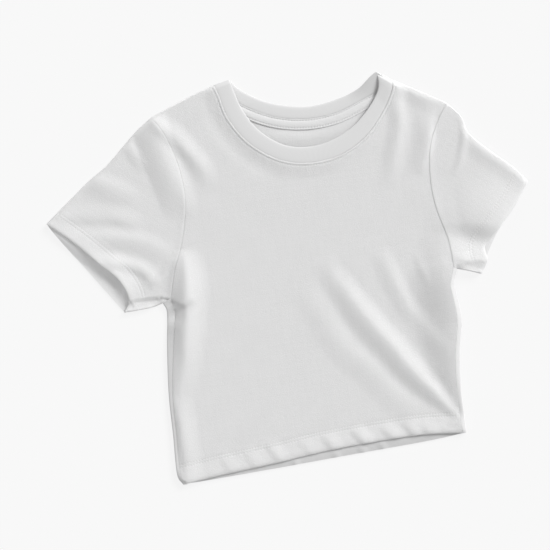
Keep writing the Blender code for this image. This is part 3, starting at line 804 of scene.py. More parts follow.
def fill(outline: Array, rows: Array,
         spacing: float) -> tuple[Array, Faces, list[int]]:
    """Fill a closed outline with even triangles.

    Args:
        outline: The outline's points in order.
        rows: Points inside it that the triangles take up.
        spacing: Distance between the other points inside.

    Returns:
        All points in the plane, the triangles, and the places of the outline's points.
    """
    low, high = outline.min(axis=0), outline.max(axis=0)
    lines = []
    for k, y in enumerate(np.arange(low[1], high[1], spacing * math.sqrt(0.75))):
        across = np.arange(low[0] + spacing * (k % 2) / 2, high[0], spacing)
        lines.append(np.column_stack([across, np.full(len(across), y)]))
    grid = np.vstack(lines)
    grid = grid[inside(grid, outline)]
    rows = rows[inside(rows, outline)]
    taken = np.vstack([outline, rows])
    tree = tree_of(taken)
    keep = np.ones(len(taken), bool)
    for k in range(len(outline), len(taken)):
        for _, other, _ in tree.find_range((*taken[k], 0.0), CLOSEST):
            if other < k and keep[other]:
                keep[k] = False
                break
    rows = taken[len(outline):][keep[len(outline):]]
    far = np.array([tree.find((x, y, 0.0))[2] > spacing * CLEAR for x, y in grid])
    points = np.vstack([outline, rows, grid[far]])
    ring = list(range(len(outline)))
    result = delaunay_2d_cdt([Vector(point) for point in points], [], [ring], 1, SNAP)
    place = {old: new for new, olds in enumerate(result[3]) for old in olds}
    flat = np.array([tuple(point) for point in result[0]])
    return flat, [tuple(face) for face in result[2]], [place[old] for old in ring]


def roll_rows(lines: Sequence[Array], spacing: float) -> Array:
    """Rows of points beside folds, on both sides, at the edges of their rolls.

    Args:
        lines: The folds.
        spacing: Distance between a row's points.

    Returns:
        The points of all rows.
    """
    rows = []
    for line in lines:
        even = spaced(line, spacing)
        for off in ROLL_ROWS:
            rows += [shifted(even, off)[1:-1], shifted(even, -off)[1:-1]]
    return np.vstack(rows)


def weld(points: Array, faces: Faces) -> tuple[Array, Faces]:
    """Join the points of a mesh that lie in the same place.

    Args:
        points: The mesh's points.
        faces: Its faces.

    Returns:
        The points that stay, and the faces between them.
    """
    keys = np.round(points, WELD_DIGITS)
    _, first, back = np.unique(keys, axis=0, return_index=True, return_inverse=True)
    back = back.reshape(-1)
    return points[first], [tuple(int(back[i]) for i in face) for face in faces]


def corner_normals(points: Array, faces: Faces) -> Array:
    """The outward normal at each point of a mesh of triangles and quads.

    Args:
        points: The mesh's points.
        faces: Its faces, counter-clockwise from outside.

    Returns:
        A normal of length one for each point.
    """
    normals = np.zeros_like(points)
    for size in (3, 4):
        some = np.array([face for face in faces if len(face) == size])
        if not len(some):
            continue
        first, second, third, last = (points[some[:, k]] for k in (0, 1, 2, -1))
        normal = (np.cross(second - first, third - first) if size == 3
                  else np.cross(third - first, last - second))
        for k in range(size):
            np.add.at(normals, some[:, k], normal)
    return normals / np.maximum(np.linalg.norm(normals, axis=1), TINY)[:, None]


def shell(points: Array, faces: Faces, wall: float) -> tuple[Array, Faces]:
    """Give an outer face its inner face and its cut edges.

    Args:
        points: The outer face's points.
        faces: The outer face's triangles and quads, counter-clockwise from outside.
        wall: The cloth's thickness.

    Returns:
        The closed shell's points and faces.
    """
    inner = points - corner_normals(points, faces) * wall
    count = len(points)
    sides = dict.fromkeys(side for face in faces for side in zip(face, (*face[1:], face[0])))
    rims = [(a, b) for a, b in sides if (b, a) not in sides]
    closed = list(faces) + [tuple(i + count for i in face[::-1]) for face in faces]
    closed += [(b, a, a + count, b + count) for a, b in rims]
    return np.vstack([points, inner]), closed


def make_object(name: str, points: Array, faces: Faces,
                finish: bpy.types.Material) -> bpy.types.Object:
    """Make a smooth-shaded object from points in millimetres.

    Args:
        name: The object's name.
        points: Its points.
        faces: Its faces.
        finish: Its material.

    Returns:
        The object, in the scene's collection.
    """
    mesh = bpy.data.meshes.new(name)
    mesh.from_pydata((points * MM).tolist(), [], faces)
    mesh.polygons.foreach_set("use_smooth", [True] * len(mesh.polygons))
    mesh.set_sharp_from_angle(angle=math.radians(CREASE_ANGLE))
    mesh.materials.append(finish)
    obj = bpy.data.objects.new(name, mesh)
    bpy.context.scene.collection.objects.link(obj)
    LOG.info("%s: %d triangles", name, sum(len(face) - 2 for face in faces))
    return obj


# -------------------------------------------------------------------------------- materials
BANDS_AT_ONE = math.pi / 10     # how far apart a wave texture's bands are at a scale of one


def linear(code: str) -> tuple[float, float, float, float]:
    """An sRGB hex colour as linear red, green, blue and full alpha.

    Args:
        code: The colour, such as #ffffff.

    Returns:
        Linear red, green and blue, and an alpha of one.
    """
    parts = [int(code[k:k + 2], 16) / 255 for k in (1, 3, 5)]
    red, green, blue = (c / 12.92 if c <= 0.04045 else ((c + 0.055) / 1.055) ** 2.4
                        for c in parts)
    return red, green, blue, 1.0


WHITE = linear("#ffffff")


def add_node(tree: bpy.types.NodeTree, kind: str, inputs: dict | None = None,
             **settings: object) -> bpy.types.Node:
    """Add a node with its settings and its inputs' values or links.

    Args:
        tree: The material's node tree.
        kind: The node's type name.
        inputs: A value or an output socket for each input, by name or place.
        settings: The node's own settings.

    Returns:
        The new node.
    """
    node = tree.nodes.new(kind)
    for name, value in settings.items():
        setattr(node, name, value)
    for name, value in (inputs or {}).items():
        if isinstance(value, bpy.types.NodeSocket):
            tree.links.new(value, node.inputs[name])
        else:
            node.inputs[name].default_value = value
    return node


def start_finish(name: str, values: dict[str, object]
                 ) -> tuple[bpy.types.Material, bpy.types.Node]:
    """Begin a material whose shader has some even values.

    Args:
        name: The material's name.
        values: The shader's values by their sockets' names.

    Returns:
        The material and its shader node.
    """
    finish = bpy.data.materials.new(name)
    finish.use_nodes = True
    shader = finish.node_tree.nodes["Principled BSDF"]
    for socket, value in values.items():
        shader.inputs[socket].default_value = value
    return finish, shader


@dataclass(frozen=True)
class CottonJersey:
    """White single jersey in combed cotton: matt, finely grained, with a faint short nap.

    The knit's wales and courses are about 0.7 mm apart, too fine to show, so they are drawn as
    soft bands 8.8 and 6.8 mm apart, which give the eye the cloth's slight unevenness.
    """

    name: str
    colour: str = "#eeeeee"
    shade: str = "#e9e9e9"      # of the blotches where the cloth is denser
    grain: float = 0.0          # degrees that the wales are turned by
    wale: float = 8.8           # mm
    course: float = 6.77        # mm
    fibres: float = 0.9         # clumps of fibres to a millimetre
    blotches: float = 0.045     # to a millimetre
    relief: float = 0.4         # mm
    knit_share: float = 0.12    # of the relief that is the knit's, beside its fibres'
    depth_light: float = 0.6    # share of the light that spreads inside the loose knit
    depth: float = 2.5          # mm that it spreads over

    def build(self) -> bpy.types.Material:
        """The jersey as a Blender material.

        Returns:
            The material.
        """
        cloth, shader = start_finish(self.name, {
            "Roughness": 0.92, "IOR": 1.5, "Specular IOR Level": 0.25, "Sheen Weight": 0.15,
            "Sheen Roughness": 0.5, "Subsurface Weight": self.depth_light,
            "Subsurface Radius": (1.0, 1.0, 1.0), "Subsurface Scale": self.depth * MM})
        tree = cloth.node_tree
        place = add_node(tree, "ShaderNodeTexCoord").outputs["Object"]
        turned = add_node(tree, "ShaderNodeMapping", {
            "Vector": place, "Rotation": (0.0, 0.0, math.radians(self.grain))})
        wales, courses = (
            add_node(tree, "ShaderNodeTexWave", {
                "Vector": turned.outputs["Vector"], "Scale": BANDS_AT_ONE / (apart * MM),
                "Distortion": 1.2, "Detail": 2.0, "Detail Scale": 3.0}, bands_direction=axis)
            for apart, axis in ((self.wale, "X"), (self.course, "Y")))
        fibres = add_node(tree, "ShaderNodeTexNoise", {
            "Vector": place, "Scale": self.fibres / MM, "Detail": 3.0, "Roughness": 0.65})
        knit = add_node(tree, "ShaderNodeMath", {0: wales.outputs["Fac"],
                                                 1: courses.outputs["Fac"]},
                        operation="MULTIPLY")
        grain = add_node(tree, "ShaderNodeMath", {
            0: knit.outputs[0], 1: self.knit_share, 2: fibres.outputs["Fac"]},
            operation="MULTIPLY_ADD")
        bump = add_node(tree, "ShaderNodeBump", {
            "Height": grain.outputs[0], "Strength": 0.8, "Distance": self.relief * MM})
        tree.links.new(bump.outputs["Normal"], shader.inputs["Normal"])
        blotch = add_node(tree, "ShaderNodeTexNoise", {
            "Vector": place, "Scale": self.blotches / MM, "Detail": 4.0})
        # Inputs 6 and 7 and output 2 are the mix's colours
        mixed = add_node(tree, "ShaderNodeMix", {
            0: blotch.outputs["Fac"], 6: linear(self.colour), 7: linear(self.shade)},
            data_type="RGBA")
        tree.links.new(mixed.outputs[2], shader.inputs["Base Color"])
        return cloth


@dataclass(frozen=True)
class RibKnit:
    """White 1x1 rib in cotton: matt, its ribs modelled, with the same fine grain as jersey."""

    name: str
    colour: str = "#e3e3e3"
    fibres: float = 0.8         # clumps of fibres to a millimetre
    relief: float = 0.08        # mm

    def build(self) -> bpy.types.Material:
        """The rib knit as a Blender material.

        Returns:
            The material.
        """
        cloth, shader = start_finish(self.name, {
            "Roughness": 0.92, "Specular IOR Level": 0.25, "Sheen Weight": 0.08,
            "Base Color": linear(self.colour)})
        tree = cloth.node_tree
        place = add_node(tree, "ShaderNodeTexCoord").outputs["Object"]
        fibres = add_node(tree, "ShaderNodeTexNoise", {
            "Vector": place, "Scale": self.fibres / MM, "Detail": 3.0, "Roughness": 0.65})
        bump = add_node(tree, "ShaderNodeBump", {
            "Height": fibres.outputs["Fac"], "Strength": 0.5, "Distance": self.relief * MM})
        tree.links.new(bump.outputs["Normal"], shader.inputs["Normal"])
        return cloth


@dataclass(frozen=True)
class SewingThread:
    """White spun polyester thread: a little brighter than the cloth, with a soft shine."""

    name: str
    colour: str = "#ebebeb"
    twists: float = 2.5         # to a millimetre
    relief: float = 0.05        # mm

    def build(self) -> bpy.types.Material:
        """The thread as a Blender material.

        Returns:
            The material.
        """
        thread, shader = start_finish(self.name, {
            "Roughness": 0.6, "Base Color": linear(self.colour)})
        tree = thread.node_tree
        place = add_node(tree, "ShaderNodeTexCoord").outputs["Object"]
        twist = add_node(tree, "ShaderNodeTexNoise", {
            "Vector": place, "Scale": self.twists / MM, "Detail": 2.0})
        bump = add_node(tree, "ShaderNodeBump", {
            "Height": twist.outputs["Fac"], "Strength": 0.4, "Distance": self.relief * MM})
        tree.links.new(bump.outputs["Normal"], shader.inputs["Normal"])
        return thread


@dataclass(frozen=True)
class Finishes:
    """The finishes of the garment, built once and shared."""

    jersey: bpy.types.Material
    sleeve_jersey: bpy.types.Material
    # the front's white jersey painted darker, as painted shade for the back
    back_jersey_painted_shade: bpy.types.Material
    rib: bpy.types.Material
    tape: bpy.types.Material
    thread: bpy.types.Material

    @classmethod
    def make(cls) -> Finishes:
        """Build every finish.

        Returns:
            The finishes.
        """
        return cls(
            CottonJersey("cotton_jersey", grain=-2.0).build(),
            CottonJersey("cotton_jersey_sleeve", grain=38.0).build(),
            # The back is the front's white jersey painted darker: painted shade for where the back
            # shows in shadow inside the neck and under the hem's edge
            CottonJersey("cotton_jersey_back_painted_shade", "#e2e2e2", "#dddddd", depth_light=0.0).build(),
            RibKnit("cotton_rib_knit").build(),
            CottonJersey("cotton_jersey_tape", "#ebebeb", "#e8e8e8", grain=12.0,
                         depth_light=0.0).build(),
            SewingThread("sewing_thread").build(),
        )


# ------------------------------------------------------------------------------- cloth pieces
CLIP_STEP = 0.5         # to which a line's end is found
EDGE_ROWS = (0.35, 0.9, 2.0, 3.4, 5.0)   # of the mesh, in from a hem's rolled edge
# Relief beside edges and seams, as distance from the line and height above the cloth
HEM_ROLL = ((0.0, -0.1), (0.4, 0.6), (1.0, 1.1), (2.0, 1.45), (3.5, 1.7), (5.0, 1.75),
            (8.0, 1.5), (12.0, 1.0), (16.0, 0.45), (20.0, 0.08), (24.0, 0.0))
CUFF_ROLL = ((0.0, -0.3), (0.4, 0.1), (1.0, 0.35), (2.0, 0.55), (3.2, 0.62), (5.0, 0.52),
             (8.0, 0.25), (12.0, 0.05), (16.0, 0.0))
BODY_AT_ARMHOLE = ((0.0, -0.1), (0.4, 0.0))
SLEEVE_AT_ARMHOLE = ((0.0, 0.0), (0.5, 0.2), (1.2, 0.32), (2.2, 0.32), (4.0, 0.2), (8.0, 0.0))
BODY_AT_NECK = ((0.0, 0.05), (0.6, 0.3), (1.2, 0.48), (1.8, 0.42), (2.6, 0.14), (3.4, 0.03),
                (4.6, 0.08), (7.0, 0.0))
AT_SIDE_SEAM = ((0.0, -0.12), (0.6, -0.04), (1.4, 0.02), (2.6, 0.0))


def clip(line: Array, outline: Array) -> Array:
    """The part of a line that lies inside an outline.

    Args:
        line: The line.
        outline: The outline's points in order.

    Returns:
        The part as an even polyline.
    """
    fine = spaced(line, CLIP_STEP)
    within = np.flatnonzero(inside(fine, outline))
    return fine[within[0]:within[-1] + 1]


def dress(obj: bpy.types.Object, node: str, flat: tuple[float, float],
          area: float | None = None,
          trims: Sequence[bpy.types.Object] = ()) -> None:
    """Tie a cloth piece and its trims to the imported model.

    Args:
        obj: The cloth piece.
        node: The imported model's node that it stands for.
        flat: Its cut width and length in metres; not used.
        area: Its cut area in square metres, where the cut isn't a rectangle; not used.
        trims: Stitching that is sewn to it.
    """
    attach(obj, "root")
    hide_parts(node)
    for trim in trims:
        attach(trim, "root")


def stitching(name: str, rows: Sequence[StitchRow], height: Height,
              finish: bpy.types.Material) -> bpy.types.Object:
    """One object with the thread bars of several rows.

    Args:
        name: The object's name.
        rows: The stitch rows.
        height: The cloth's height at points of the plane.
        finish: The thread's material.

    Returns:
        The object.
    """
    points, faces, count = [], [], 0
    for row in rows:
        bars, ends = row.threads(height)
        points.append(bars)
        faces += [tuple(i + count for i in face) for face in ends]
        count += len(bars)
    return make_object(name, np.vstack(points), faces, finish)


@dataclass
class Front:
    """The front panel: the upper layer between the side seams, from neck to hem."""

    cloth: LaidCloth
    spacing: float = 2.6
    edge_step: float = 1.6
    neck_step: float = 1.4
    neck_stitch: float = 3.2        # from the neck seam to its stitch row
    neck_rows: tuple[float, ...] = (0.5, 1.2, 2.0, 4.6, 6.0)
    armhole_rows: tuple[float, ...] = (0.5, 1.2, 2.6)
    side_rows: tuple[float, ...] = (0.6, 1.4, 2.6)
    shoulder_roll_step: float = 1.8
    side_roll_step: float = 2.0
    end_gap: float = 0.5            # between the hem's line and its corners
    flat: tuple[float, float] = (0.362, 0.450)
    area: float = 0.115
    rows: list[StitchRow] = field(default_factory=list)

    def outline(self) -> Array:
        """The panel's edges, round from the left end of its hem.

        Returns:
            The edges' points in order, the first one not repeated.
        """
        lines = self.cloth.outline
        left = shifted(lines.side_seam(Side.LEFT), -SEAM_GAP)
        right = shifted(lines.side_seam(Side.RIGHT), SEAM_GAP)
        left_hole = shifted(lines.armhole[Side.LEFT], -SEAM_GAP)
        right_hole = shifted(lines.armhole[Side.RIGHT], SEAM_GAP)
        hem = lines.hem[Layer.UPPER]
        hem = hem[(hem[:, 0] > left[0, 0] + self.end_gap)
                  & (hem[:, 0] < right[0, 0] - self.end_gap)]
        neck = shifted(lines.neck_seam[Layer.UPPER], -SEAM_GAP)
        right_shoulder, left_shoulder = (lines.shoulder_between(side) for side in
                                         (Side.RIGHT, Side.LEFT))
        parts = (joined(left[:1], hem, right), joined(right[-1:], right_hole),
                 joined(right_hole[-1:], right_shoulder, neck[-1:]), neck[::-1],
                 joined(neck[:1], left_shoulder[::-1], left_hole[-1:]), left_hole[::-1],
                 joined(left_hole[:1], left[::-1]))
        return joined(*(spaced(part, self.edge_step) for part in parts))[:-1]

    def extra_rows(self) -> Array:
        """Points beside seams, the hem, the shoulder folds and the stitches.

        Returns:
            The points of all rows.
        """
        lines = self.cloth.outline
        rows = [row.rows() for row in self.rows]
        rows.append(roll_rows(list(lines.shoulder.values()), self.shoulder_roll_step))
        rows.append(roll_rows(list(lines.side.values()), self.side_roll_step))
        rows += rows_beside(lines.hem[Layer.UPPER], self.edge_step, EDGE_ROWS)
        for side in Side:
            rows += rows_beside(lines.armhole[side], self.edge_step, self.armhole_rows,
                                side.value)
            rows += rows_beside(lines.side_seam(side), self.edge_step, self.side_rows,
                                side.value)
        rows += rows_beside(lines.neck_seam[Layer.UPPER], self.neck_step, self.neck_rows, -1)
        return np.vstack(rows)

    def height(self, points: Array) -> Array:
        """Heights of the front's outer face.

        Args:
            points: Points of the plane.

        Returns:
            The height at each point.
        """
        lines = self.cloth.outline
        seams = profile_at(lines.neck_seam[Layer.UPPER], points, BODY_AT_NECK)
        seams += profile_at(lines.hem[Layer.UPPER], points, HEM_ROLL)
        for side in Side:
            seams += profile_at(lines.armhole[side], points, BODY_AT_ARMHOLE)
            seams += profile_at(lines.side_seam(side), points, AT_SIDE_SEAM)
        for row in self.rows:
            seams += row.groove(points)
        return self.cloth.upper(points) + seams * self.cloth.seam_ease(points)

    def build(self, finishes: Finishes) -> bpy.types.Object:
        """Make the front and its stitches.

        Args:
            finishes: The garment's finishes.

        Returns:
            The front panel.
        """
        outline = self.outline()
        lines = self.cloth.outline
        self.rows = [StitchRow(clip(shifted(lines.hem[Layer.UPPER], off), outline))
                     for off in HEM_STITCHES]
        self.rows.append(StitchRow(clip(
            shifted(lines.neck_seam[Layer.UPPER], -self.neck_stitch), outline)))
        flat, faces, _ = fill(outline, self.extra_rows(), self.spacing)
        points = np.column_stack([flat, self.height(flat)])
        obj = make_object("front_panel", *shell(points, faces, WALL), finishes.jersey)
        sewn = stitching("front_stitches", self.rows, self.height, finishes.thread)
        dress(obj, "front", self.flat, self.area, [sewn])
        return obj


@dataclass
class Back:
    """The back panel: flat on the table, its sides turned over onto the upper layer."""

    cloth: LaidCloth
    spacing: float = 4.0
    edge_step: float = 2.0
    roll_step: float = 2.4
    hem_rows: tuple[float, ...] = (0.4, 1.2, 3.0)
    neck_rows: tuple[float, ...] = (0.5, 1.5)
    # Shares of a strip's width that its roll rows stay within, in order, where it is narrow
    row_limits: tuple[float, ...] = (0.5, 0.6, 0.7, 0.8)
    flat: tuple[float, float] = (0.385, 0.455)
    area: float = 0.125

    def holes(self) -> dict[Side, Array]:
        """Each armhole's edge, from the side fold to the shoulder tip.

        Returns:
            The edge on each side.
        """
        lines = self.cloth.outline
        return {side: shifted(lines.whole_armhole(side), side.value * SEAM_GAP)
                for side in Side}

    def folds(self, holes: dict[Side, Array]) -> dict[Side, Array]:
        """Each side fold, from the hem to the armhole's edge."""
        return {side: spaced(joined(self.cloth.outline.side[side][:-1], holes[side][:1]),
                             self.edge_step) for side in Side}

    def lower_rows(self) -> Array:
        """Points beside the folds, the hem and the neck seam of the lower layer.

        Returns:
            The points of all rows.
        """
        lines = self.cloth.outline
        rows = [roll_rows([*lines.shoulder.values(), *lines.side.values()], self.roll_step)]
        rows += rows_beside(lines.hem[Layer.LOWER], self.edge_step, self.hem_rows)
        rows += rows_beside(lines.neck_seam[Layer.LOWER], self.edge_step, self.neck_rows, -1)
        return np.vstack(rows)

    def strip(self, side: Side, fold: Array) -> tuple[Array, int]:
        """The strip that turns over a side fold and ends at the side seam.

        Args:
            side: Which side.
            fold: The side fold's points.

        Returns:
            The strip's points without the fold's own, and how many there are in a row.
        """
        lines = self.cloth.outline
        corner = lines.armhole[side][:1] - (0.0, SEAM_GAP)
        seam = joined(shifted(lines.side_seam(side), -side.value * SEAM_GAP), corner)
        seam = at_runs(seam, np.linspace(0.0, run_of(seam)[-1], len(fold)))
        widths = np.linalg.norm(seam - fold, axis=1)[:, None]
        shares = [np.minimum(off / widths, most)
                  for off, most in zip(ROLL_ROWS, self.row_limits)]
        flat = np.stack([fold + (seam - fold) * share for share in shares] + [seam], axis=1)
        plane = flat.reshape(-1, 2)
        seams = profile_at(lines.side_seam(side), plane, AT_SIDE_SEAM)
        seams += profile_at(lines.hem[Layer.UPPER], plane, HEM_ROLL)
        height = self.cloth.upper(plane) + seams * self.cloth.seam_ease(plane)
        return np.column_stack([plane, height]), flat.shape[1]

    def build(self, finishes: Finishes) -> bpy.types.Object:
        """Make the back with its two side strips.

        Args:
            finishes: The garment's finishes.

        Returns:
            The back panel.
        """
        lines = self.cloth.outline
        holes = self.holes()
        folds = self.folds(holes)
        neck = shifted(lines.neck_seam[Layer.LOWER], -SEAM_GAP)
        hem = spaced(lines.hem[Layer.LOWER], self.edge_step)[1:-1]
        right, left = folds[Side.RIGHT], folds[Side.LEFT]
        right_shoulder, left_shoulder = (lines.shoulder_between(side) for side in
                                         (Side.RIGHT, Side.LEFT))
        rest = (holes[Side.RIGHT],
                joined(holes[Side.RIGHT][-1:], right_shoulder, neck[-1:]), neck[::-1],
                joined(neck[:1], left_shoulder[::-1], holes[Side.LEFT][-1:]),
                holes[Side.LEFT][::-1])
        ring = joined(*(spaced(part, self.edge_step) for part in rest))
        outline = np.vstack([hem, right, ring[1:-1], left[::-1]])
        flat, faces, place = fill(outline, self.lower_rows(), self.spacing)
        points = np.column_stack([flat, self.cloth.lower(flat)])
        faces = [face[::-1] for face in faces]
        shared = {Side.RIGHT: place[len(hem):len(hem) + len(right)],
                  Side.LEFT: place[-len(left):][::-1]}
        for side in Side:
            strip, wide = self.strip(side, folds[side])
            across = [[at, *range(first, first + wide)] for at, first in zip(
                shared[side], range(len(points), len(points) + len(strip), wide))]
            points = np.vstack([points, strip])
            for here, above in zip(across, across[1:]):
                for i in range(wide):
                    quad = (here[i], here[i + 1], above[i + 1], above[i])
                    faces.append(quad if side is Side.LEFT else quad[::-1])
        obj = make_object("back_panel", *shell(points, faces, WALL), finishes.back_jersey_painted_shade)
        rows = [StitchRow(clip(shifted(lines.hem[Layer.LOWER], off), outline))
                for off in HEM_STITCHES]
        sewn = stitching("back_stitches", rows,
                         lambda plane: self.cloth.lower(plane) + WALL, finishes.thread)
        dress(obj, "back", self.flat, self.area, trims=[sewn])
        return obj


@dataclass
class Sleeve:
    """A short set-in sleeve, a tube laid flat between its upper and lower folds."""

    cloth: LaidCloth
    side: Side
    name: str
    node: str
    spacing: float = 2.6
    lower_spacing: float = 4.0
    edge_step: float = 1.6
    roll_step: float = 1.8
    over_cut: int = 3               # points of the upper fold left out beside the armhole
    under_cut: int = 2              # and of the lower fold
    armhole_rows: tuple[float, ...] = (0.5, 1.2, 2.4, 3.8, 5.5)
    stitches: tuple[float, float] = (15.0, 18.3)        # the twin rows, in from the cuff
    turned_under: float = 12.0      # of each stitch row, out of sight at the underarm
    flat: tuple[float, float] = (0.41, 0.15)
    area: float = 0.040
    rows: list[StitchRow] = field(default_factory=list)

    def outline(self, layer: Layer) -> Array:
        """One layer's edges, from the underarm up the armhole and round past the cuff.

        Args:
            layer: Which layer.

        Returns:
            The edges' points in order, the first one not repeated.
        """
        lines = self.cloth.outline
        hole = spaced(shifted(lines.whole_armhole(self.side), -self.side.value * SEAM_GAP),
                      self.edge_step)
        over = spaced(joined(hole[-1:], lines.over[self.side][self.over_cut:]), self.edge_step)
        under = spaced(joined(hole[:1], lines.under[self.side][self.under_cut:]), self.edge_step)
        cuff = spaced(lines.cuff[self.side, layer], self.edge_step)
        return joined(hole, over, cuff[::-1], under[::-1])[:-1]

    def extra_rows(self, layer: Layer) -> Array:
        """Points beside the folds, the armhole, the cuff and the stitches.

        Args:
            layer: Which layer.

        Returns:
            The points of all rows.
        """
        lines = self.cloth.outline
        sign = self.side.value
        rows = [roll_rows([lines.over[self.side], lines.under[self.side]], self.roll_step)]
        rows += rows_beside(lines.cuff[self.side, layer], self.edge_step, EDGE_ROWS, sign)
        if layer is Layer.UPPER:
            rows += rows_beside(lines.whole_armhole(self.side), self.edge_step,
                                self.armhole_rows, -sign)
            rows += [row.rows() for row in self.rows]
        return np.vstack(rows)

    def height(self, points: Array) -> Array:
        """Heights of the upper layer's outer face.

        Args:
            points: Points of the plane.

        Returns:
            The height at each point.
        """
        lines = self.cloth.outline
        seams = profile_at(lines.whole_armhole(self.side), points, SLEEVE_AT_ARMHOLE)
        seams += profile_at(lines.cuff[self.side, Layer.UPPER], points, CUFF_ROLL)
        for row in self.rows:
            seams += row.groove(points)
        return self.cloth.upper(points) + seams * self.cloth.seam_ease(points)

    def build(self, finishes: Finishes) -> bpy.types.Object:
        """Make the sleeve and its stitches.

        Args:
            finishes: The garment's finishes.

        Returns:
            The sleeve.
        """
        outline = self.outline(Layer.UPPER)
        cuff = self.cloth.outline.cuff[self.side, Layer.UPPER]
        for off in self.stitches:
            line = clip(shifted(cuff, self.side.value * off), outline)
            self.rows.append(StitchRow(line[run_of(line) > self.turned_under]))
        points, faces = np.empty((0, 3)), []
        for layer, spacing, height in ((Layer.UPPER, self.spacing, self.height),
                                       (Layer.LOWER, self.lower_spacing, self.cloth.lower)):
            edge = self.outline(layer)[::self.side.value]
            flat, found, _ = fill(edge, self.extra_rows(layer), spacing)
            faces += [tuple(i + len(points) for i in face)[::layer.value] for face in found]
            points = np.vstack([points, np.column_stack([flat, height(flat)])])
        points, faces = weld(points, faces)
        obj = make_object(self.name, *shell(points, faces, WALL), finishes.sleeve_jersey)
        sewn = stitching(f"{self.name}_stitches", self.rows, self.height, finishes.thread)
        dress(obj, self.node, self.flat, self.area, trims=[sewn])
        return obj


# The band's section from the seam over its outer face to the fold and back inside, as the share
# across, the share of its thickness, and how far the crown and the ribs stand out of the outer
# face and of the inner one
BAND_SECTION = (
    (0.00, 0.03, 0, 0), (0.03, 0.0, 0.1, 0), (0.09, 0.0, 0.5, 0), (0.22, 0.0, 0.85, 0),
    (0.40, 0.0, 1, 0), (0.60, 0.0, 1, 0), (0.78, 0.0, 0.8, 0), (0.91, 0.0, 0.45, 0),
    (0.965, 0.04, 0.15, 0), (0.99, 0.12, 0, 0), (1.00, 0.34, 0, 0), (1.00, 0.62, 0, 0),
    (0.99, 0.8, 0, 0), (0.965, 0.91, 0, 0.15), (0.91, 0.98, 0, 0.45), (0.78, 1.0, 0, 0.8),
    (0.60, 1.0, 0, 1), (0.40, 1.0, 0, 1), (0.22, 1.0, 0, 0.85), (0.09, 0.99, 0, 0.5),
    (0.03, 0.97, 0, 0.1), (0.00, 0.9, 0, 0))
ROUND = 2.0             # a roll's squareness where it is an arc


@dataclass
class Neckband:
    """The neckband: a folded strip of rib in one ring, joined to the body at its seam."""

    cloth: LaidCloth
    thickness: float = 2.4
    crown: float = 0.3          # how far the middle of the band swells
    rib_pitch: float = 1.5
    rib_depth: float = 0.07
    stations_a_rib: int = 4
    seam_gap: float = 0.06
    ease: float = 1.5           # over which the front half comes down to the left and right ends
    stand: float = 6.0          # near the right end the back half's free edge stands up by this
    stand_reach: tuple[float, float] = (1.5, 52.0)
    right_turn: float = 70.0    # the back half lifts off the table over this to the right end
    flat: tuple[float, float] = (0.56, 0.019)

    def half(self, layer: Layer) -> tuple[Array, Array, Array, Array]:
        """Stations of one half, from the left shoulder to the right one.

        Args:
            layer: Which half.

        Returns:
            The seam's points, the folded edge's points, the outward normals, and how much each
            station may be crowned on its outer face.
        """
        lines = self.cloth.outline
        seam_line = shifted(lines.neck_seam[layer], self.seam_gap)
        edge_line = lines.neck_edge[layer]
        length = run_of(seam_line)[-1]
        count = round(length / self.rib_pitch) * self.stations_a_rib
        shares = np.linspace(0.0, 1.0, count + 1)
        seam = at_runs(seam_line, shares * length)
        edge = at_runs(edge_line, shares * run_of(edge_line)[-1])
        run = np.minimum(shares, 1 - shares) * length
        slow = (shares > 0.5) & (layer is Layer.LOWER)
        turn = np.where(slow, self.right_turn, FOLD_DEPTH)
        square = np.where(slow, ROUND, FOLD_SQUARE)
        inward = 1 - np.minimum(run, turn) / turn
        share = (1 - inward**square) ** (1 / square)
        rise = FOLD_RADIUS * share
        height = FOLD_RADIUS + layer.value * rise
        if layer is Layer.UPPER:
            height += (self.cloth.upper(seam) - height) * eased(run / self.ease)
        across = (edge - seam) / np.linalg.norm(edge - seam, axis=1)[:, None]
        outward = np.column_stack([-across[:, 1], across[:, 0]])
        outward[shares > 0.5] *= -1
        normal = np.column_stack([outward * (inward ** (square - 1) / turn)[:, None],
                                  layer.value * share ** (square - 1) / FOLD_RADIUS])
        normal /= np.linalg.norm(normal, axis=1)[:, None]
        crown = (1 + layer.value * share) / 2
        near, far = self.stand_reach
        stand = self.stand * slow * eased(run / near) * (1 - eased((run - near) / far))
        return (np.column_stack([seam, height]), np.column_stack([edge, height + stand]),
                normal, crown)

    def build(self, finishes: Finishes) -> bpy.types.Object:
        """Make the neckband.

        Args:
            finishes: The garment's finishes.

        Returns:
            The neckband.
        """
        front, back = self.half(Layer.UPPER), self.half(Layer.LOWER)
        seam, edge, normal, crown = (
            np.concatenate([f, b[-2:0:-1]]) for f, b in zip(front, back))
        wave = np.cos(2 * np.pi * np.arange(len(seam)) / self.stations_a_rib)
        rings = []
        for share, depth, outer, inner in BAND_SECTION:
            rib = self.rib_depth * wave * (outer + inner)
            proud = (self.crown * crown * outer + rib * outer * crown
                     - self.crown * (1 - crown) * inner - rib * inner)
            offset = proud - depth * self.thickness
            rings.append(seam + (edge - seam) * share + normal * offset[:, None])
        points = np.stack(rings, axis=1)
        faces = grid_faces(*points.shape[:2], looped=True)
        obj = make_object("neck_rib", points.reshape(-1, 3), faces, finishes.rib)
        dress(obj, "neckband", self.flat)
        return obj


# Across the tape, the height of its face over its own cloth, and where its mesh has columns
TAPE_FACE = ((0.0, 0.9), (0.5, 1.08), (1.0, 1.05), (1.9, 0.8), (2.8, 0.92), (4.5, 1.05),
             (6.5, 1.05), (8.8, 0.8), (10.2, 0.5), (11.0, 0.42), (11.6, 0.32), (11.9, 0.0))
TAPE_COLUMNS = (0.0, 0.04, 0.08, 0.12, 0.16, 0.2, 0.25, 0.36, 0.48, 0.6, 0.72, 0.8, 0.84, 0.88,
                0.92, 0.96, 1.0)


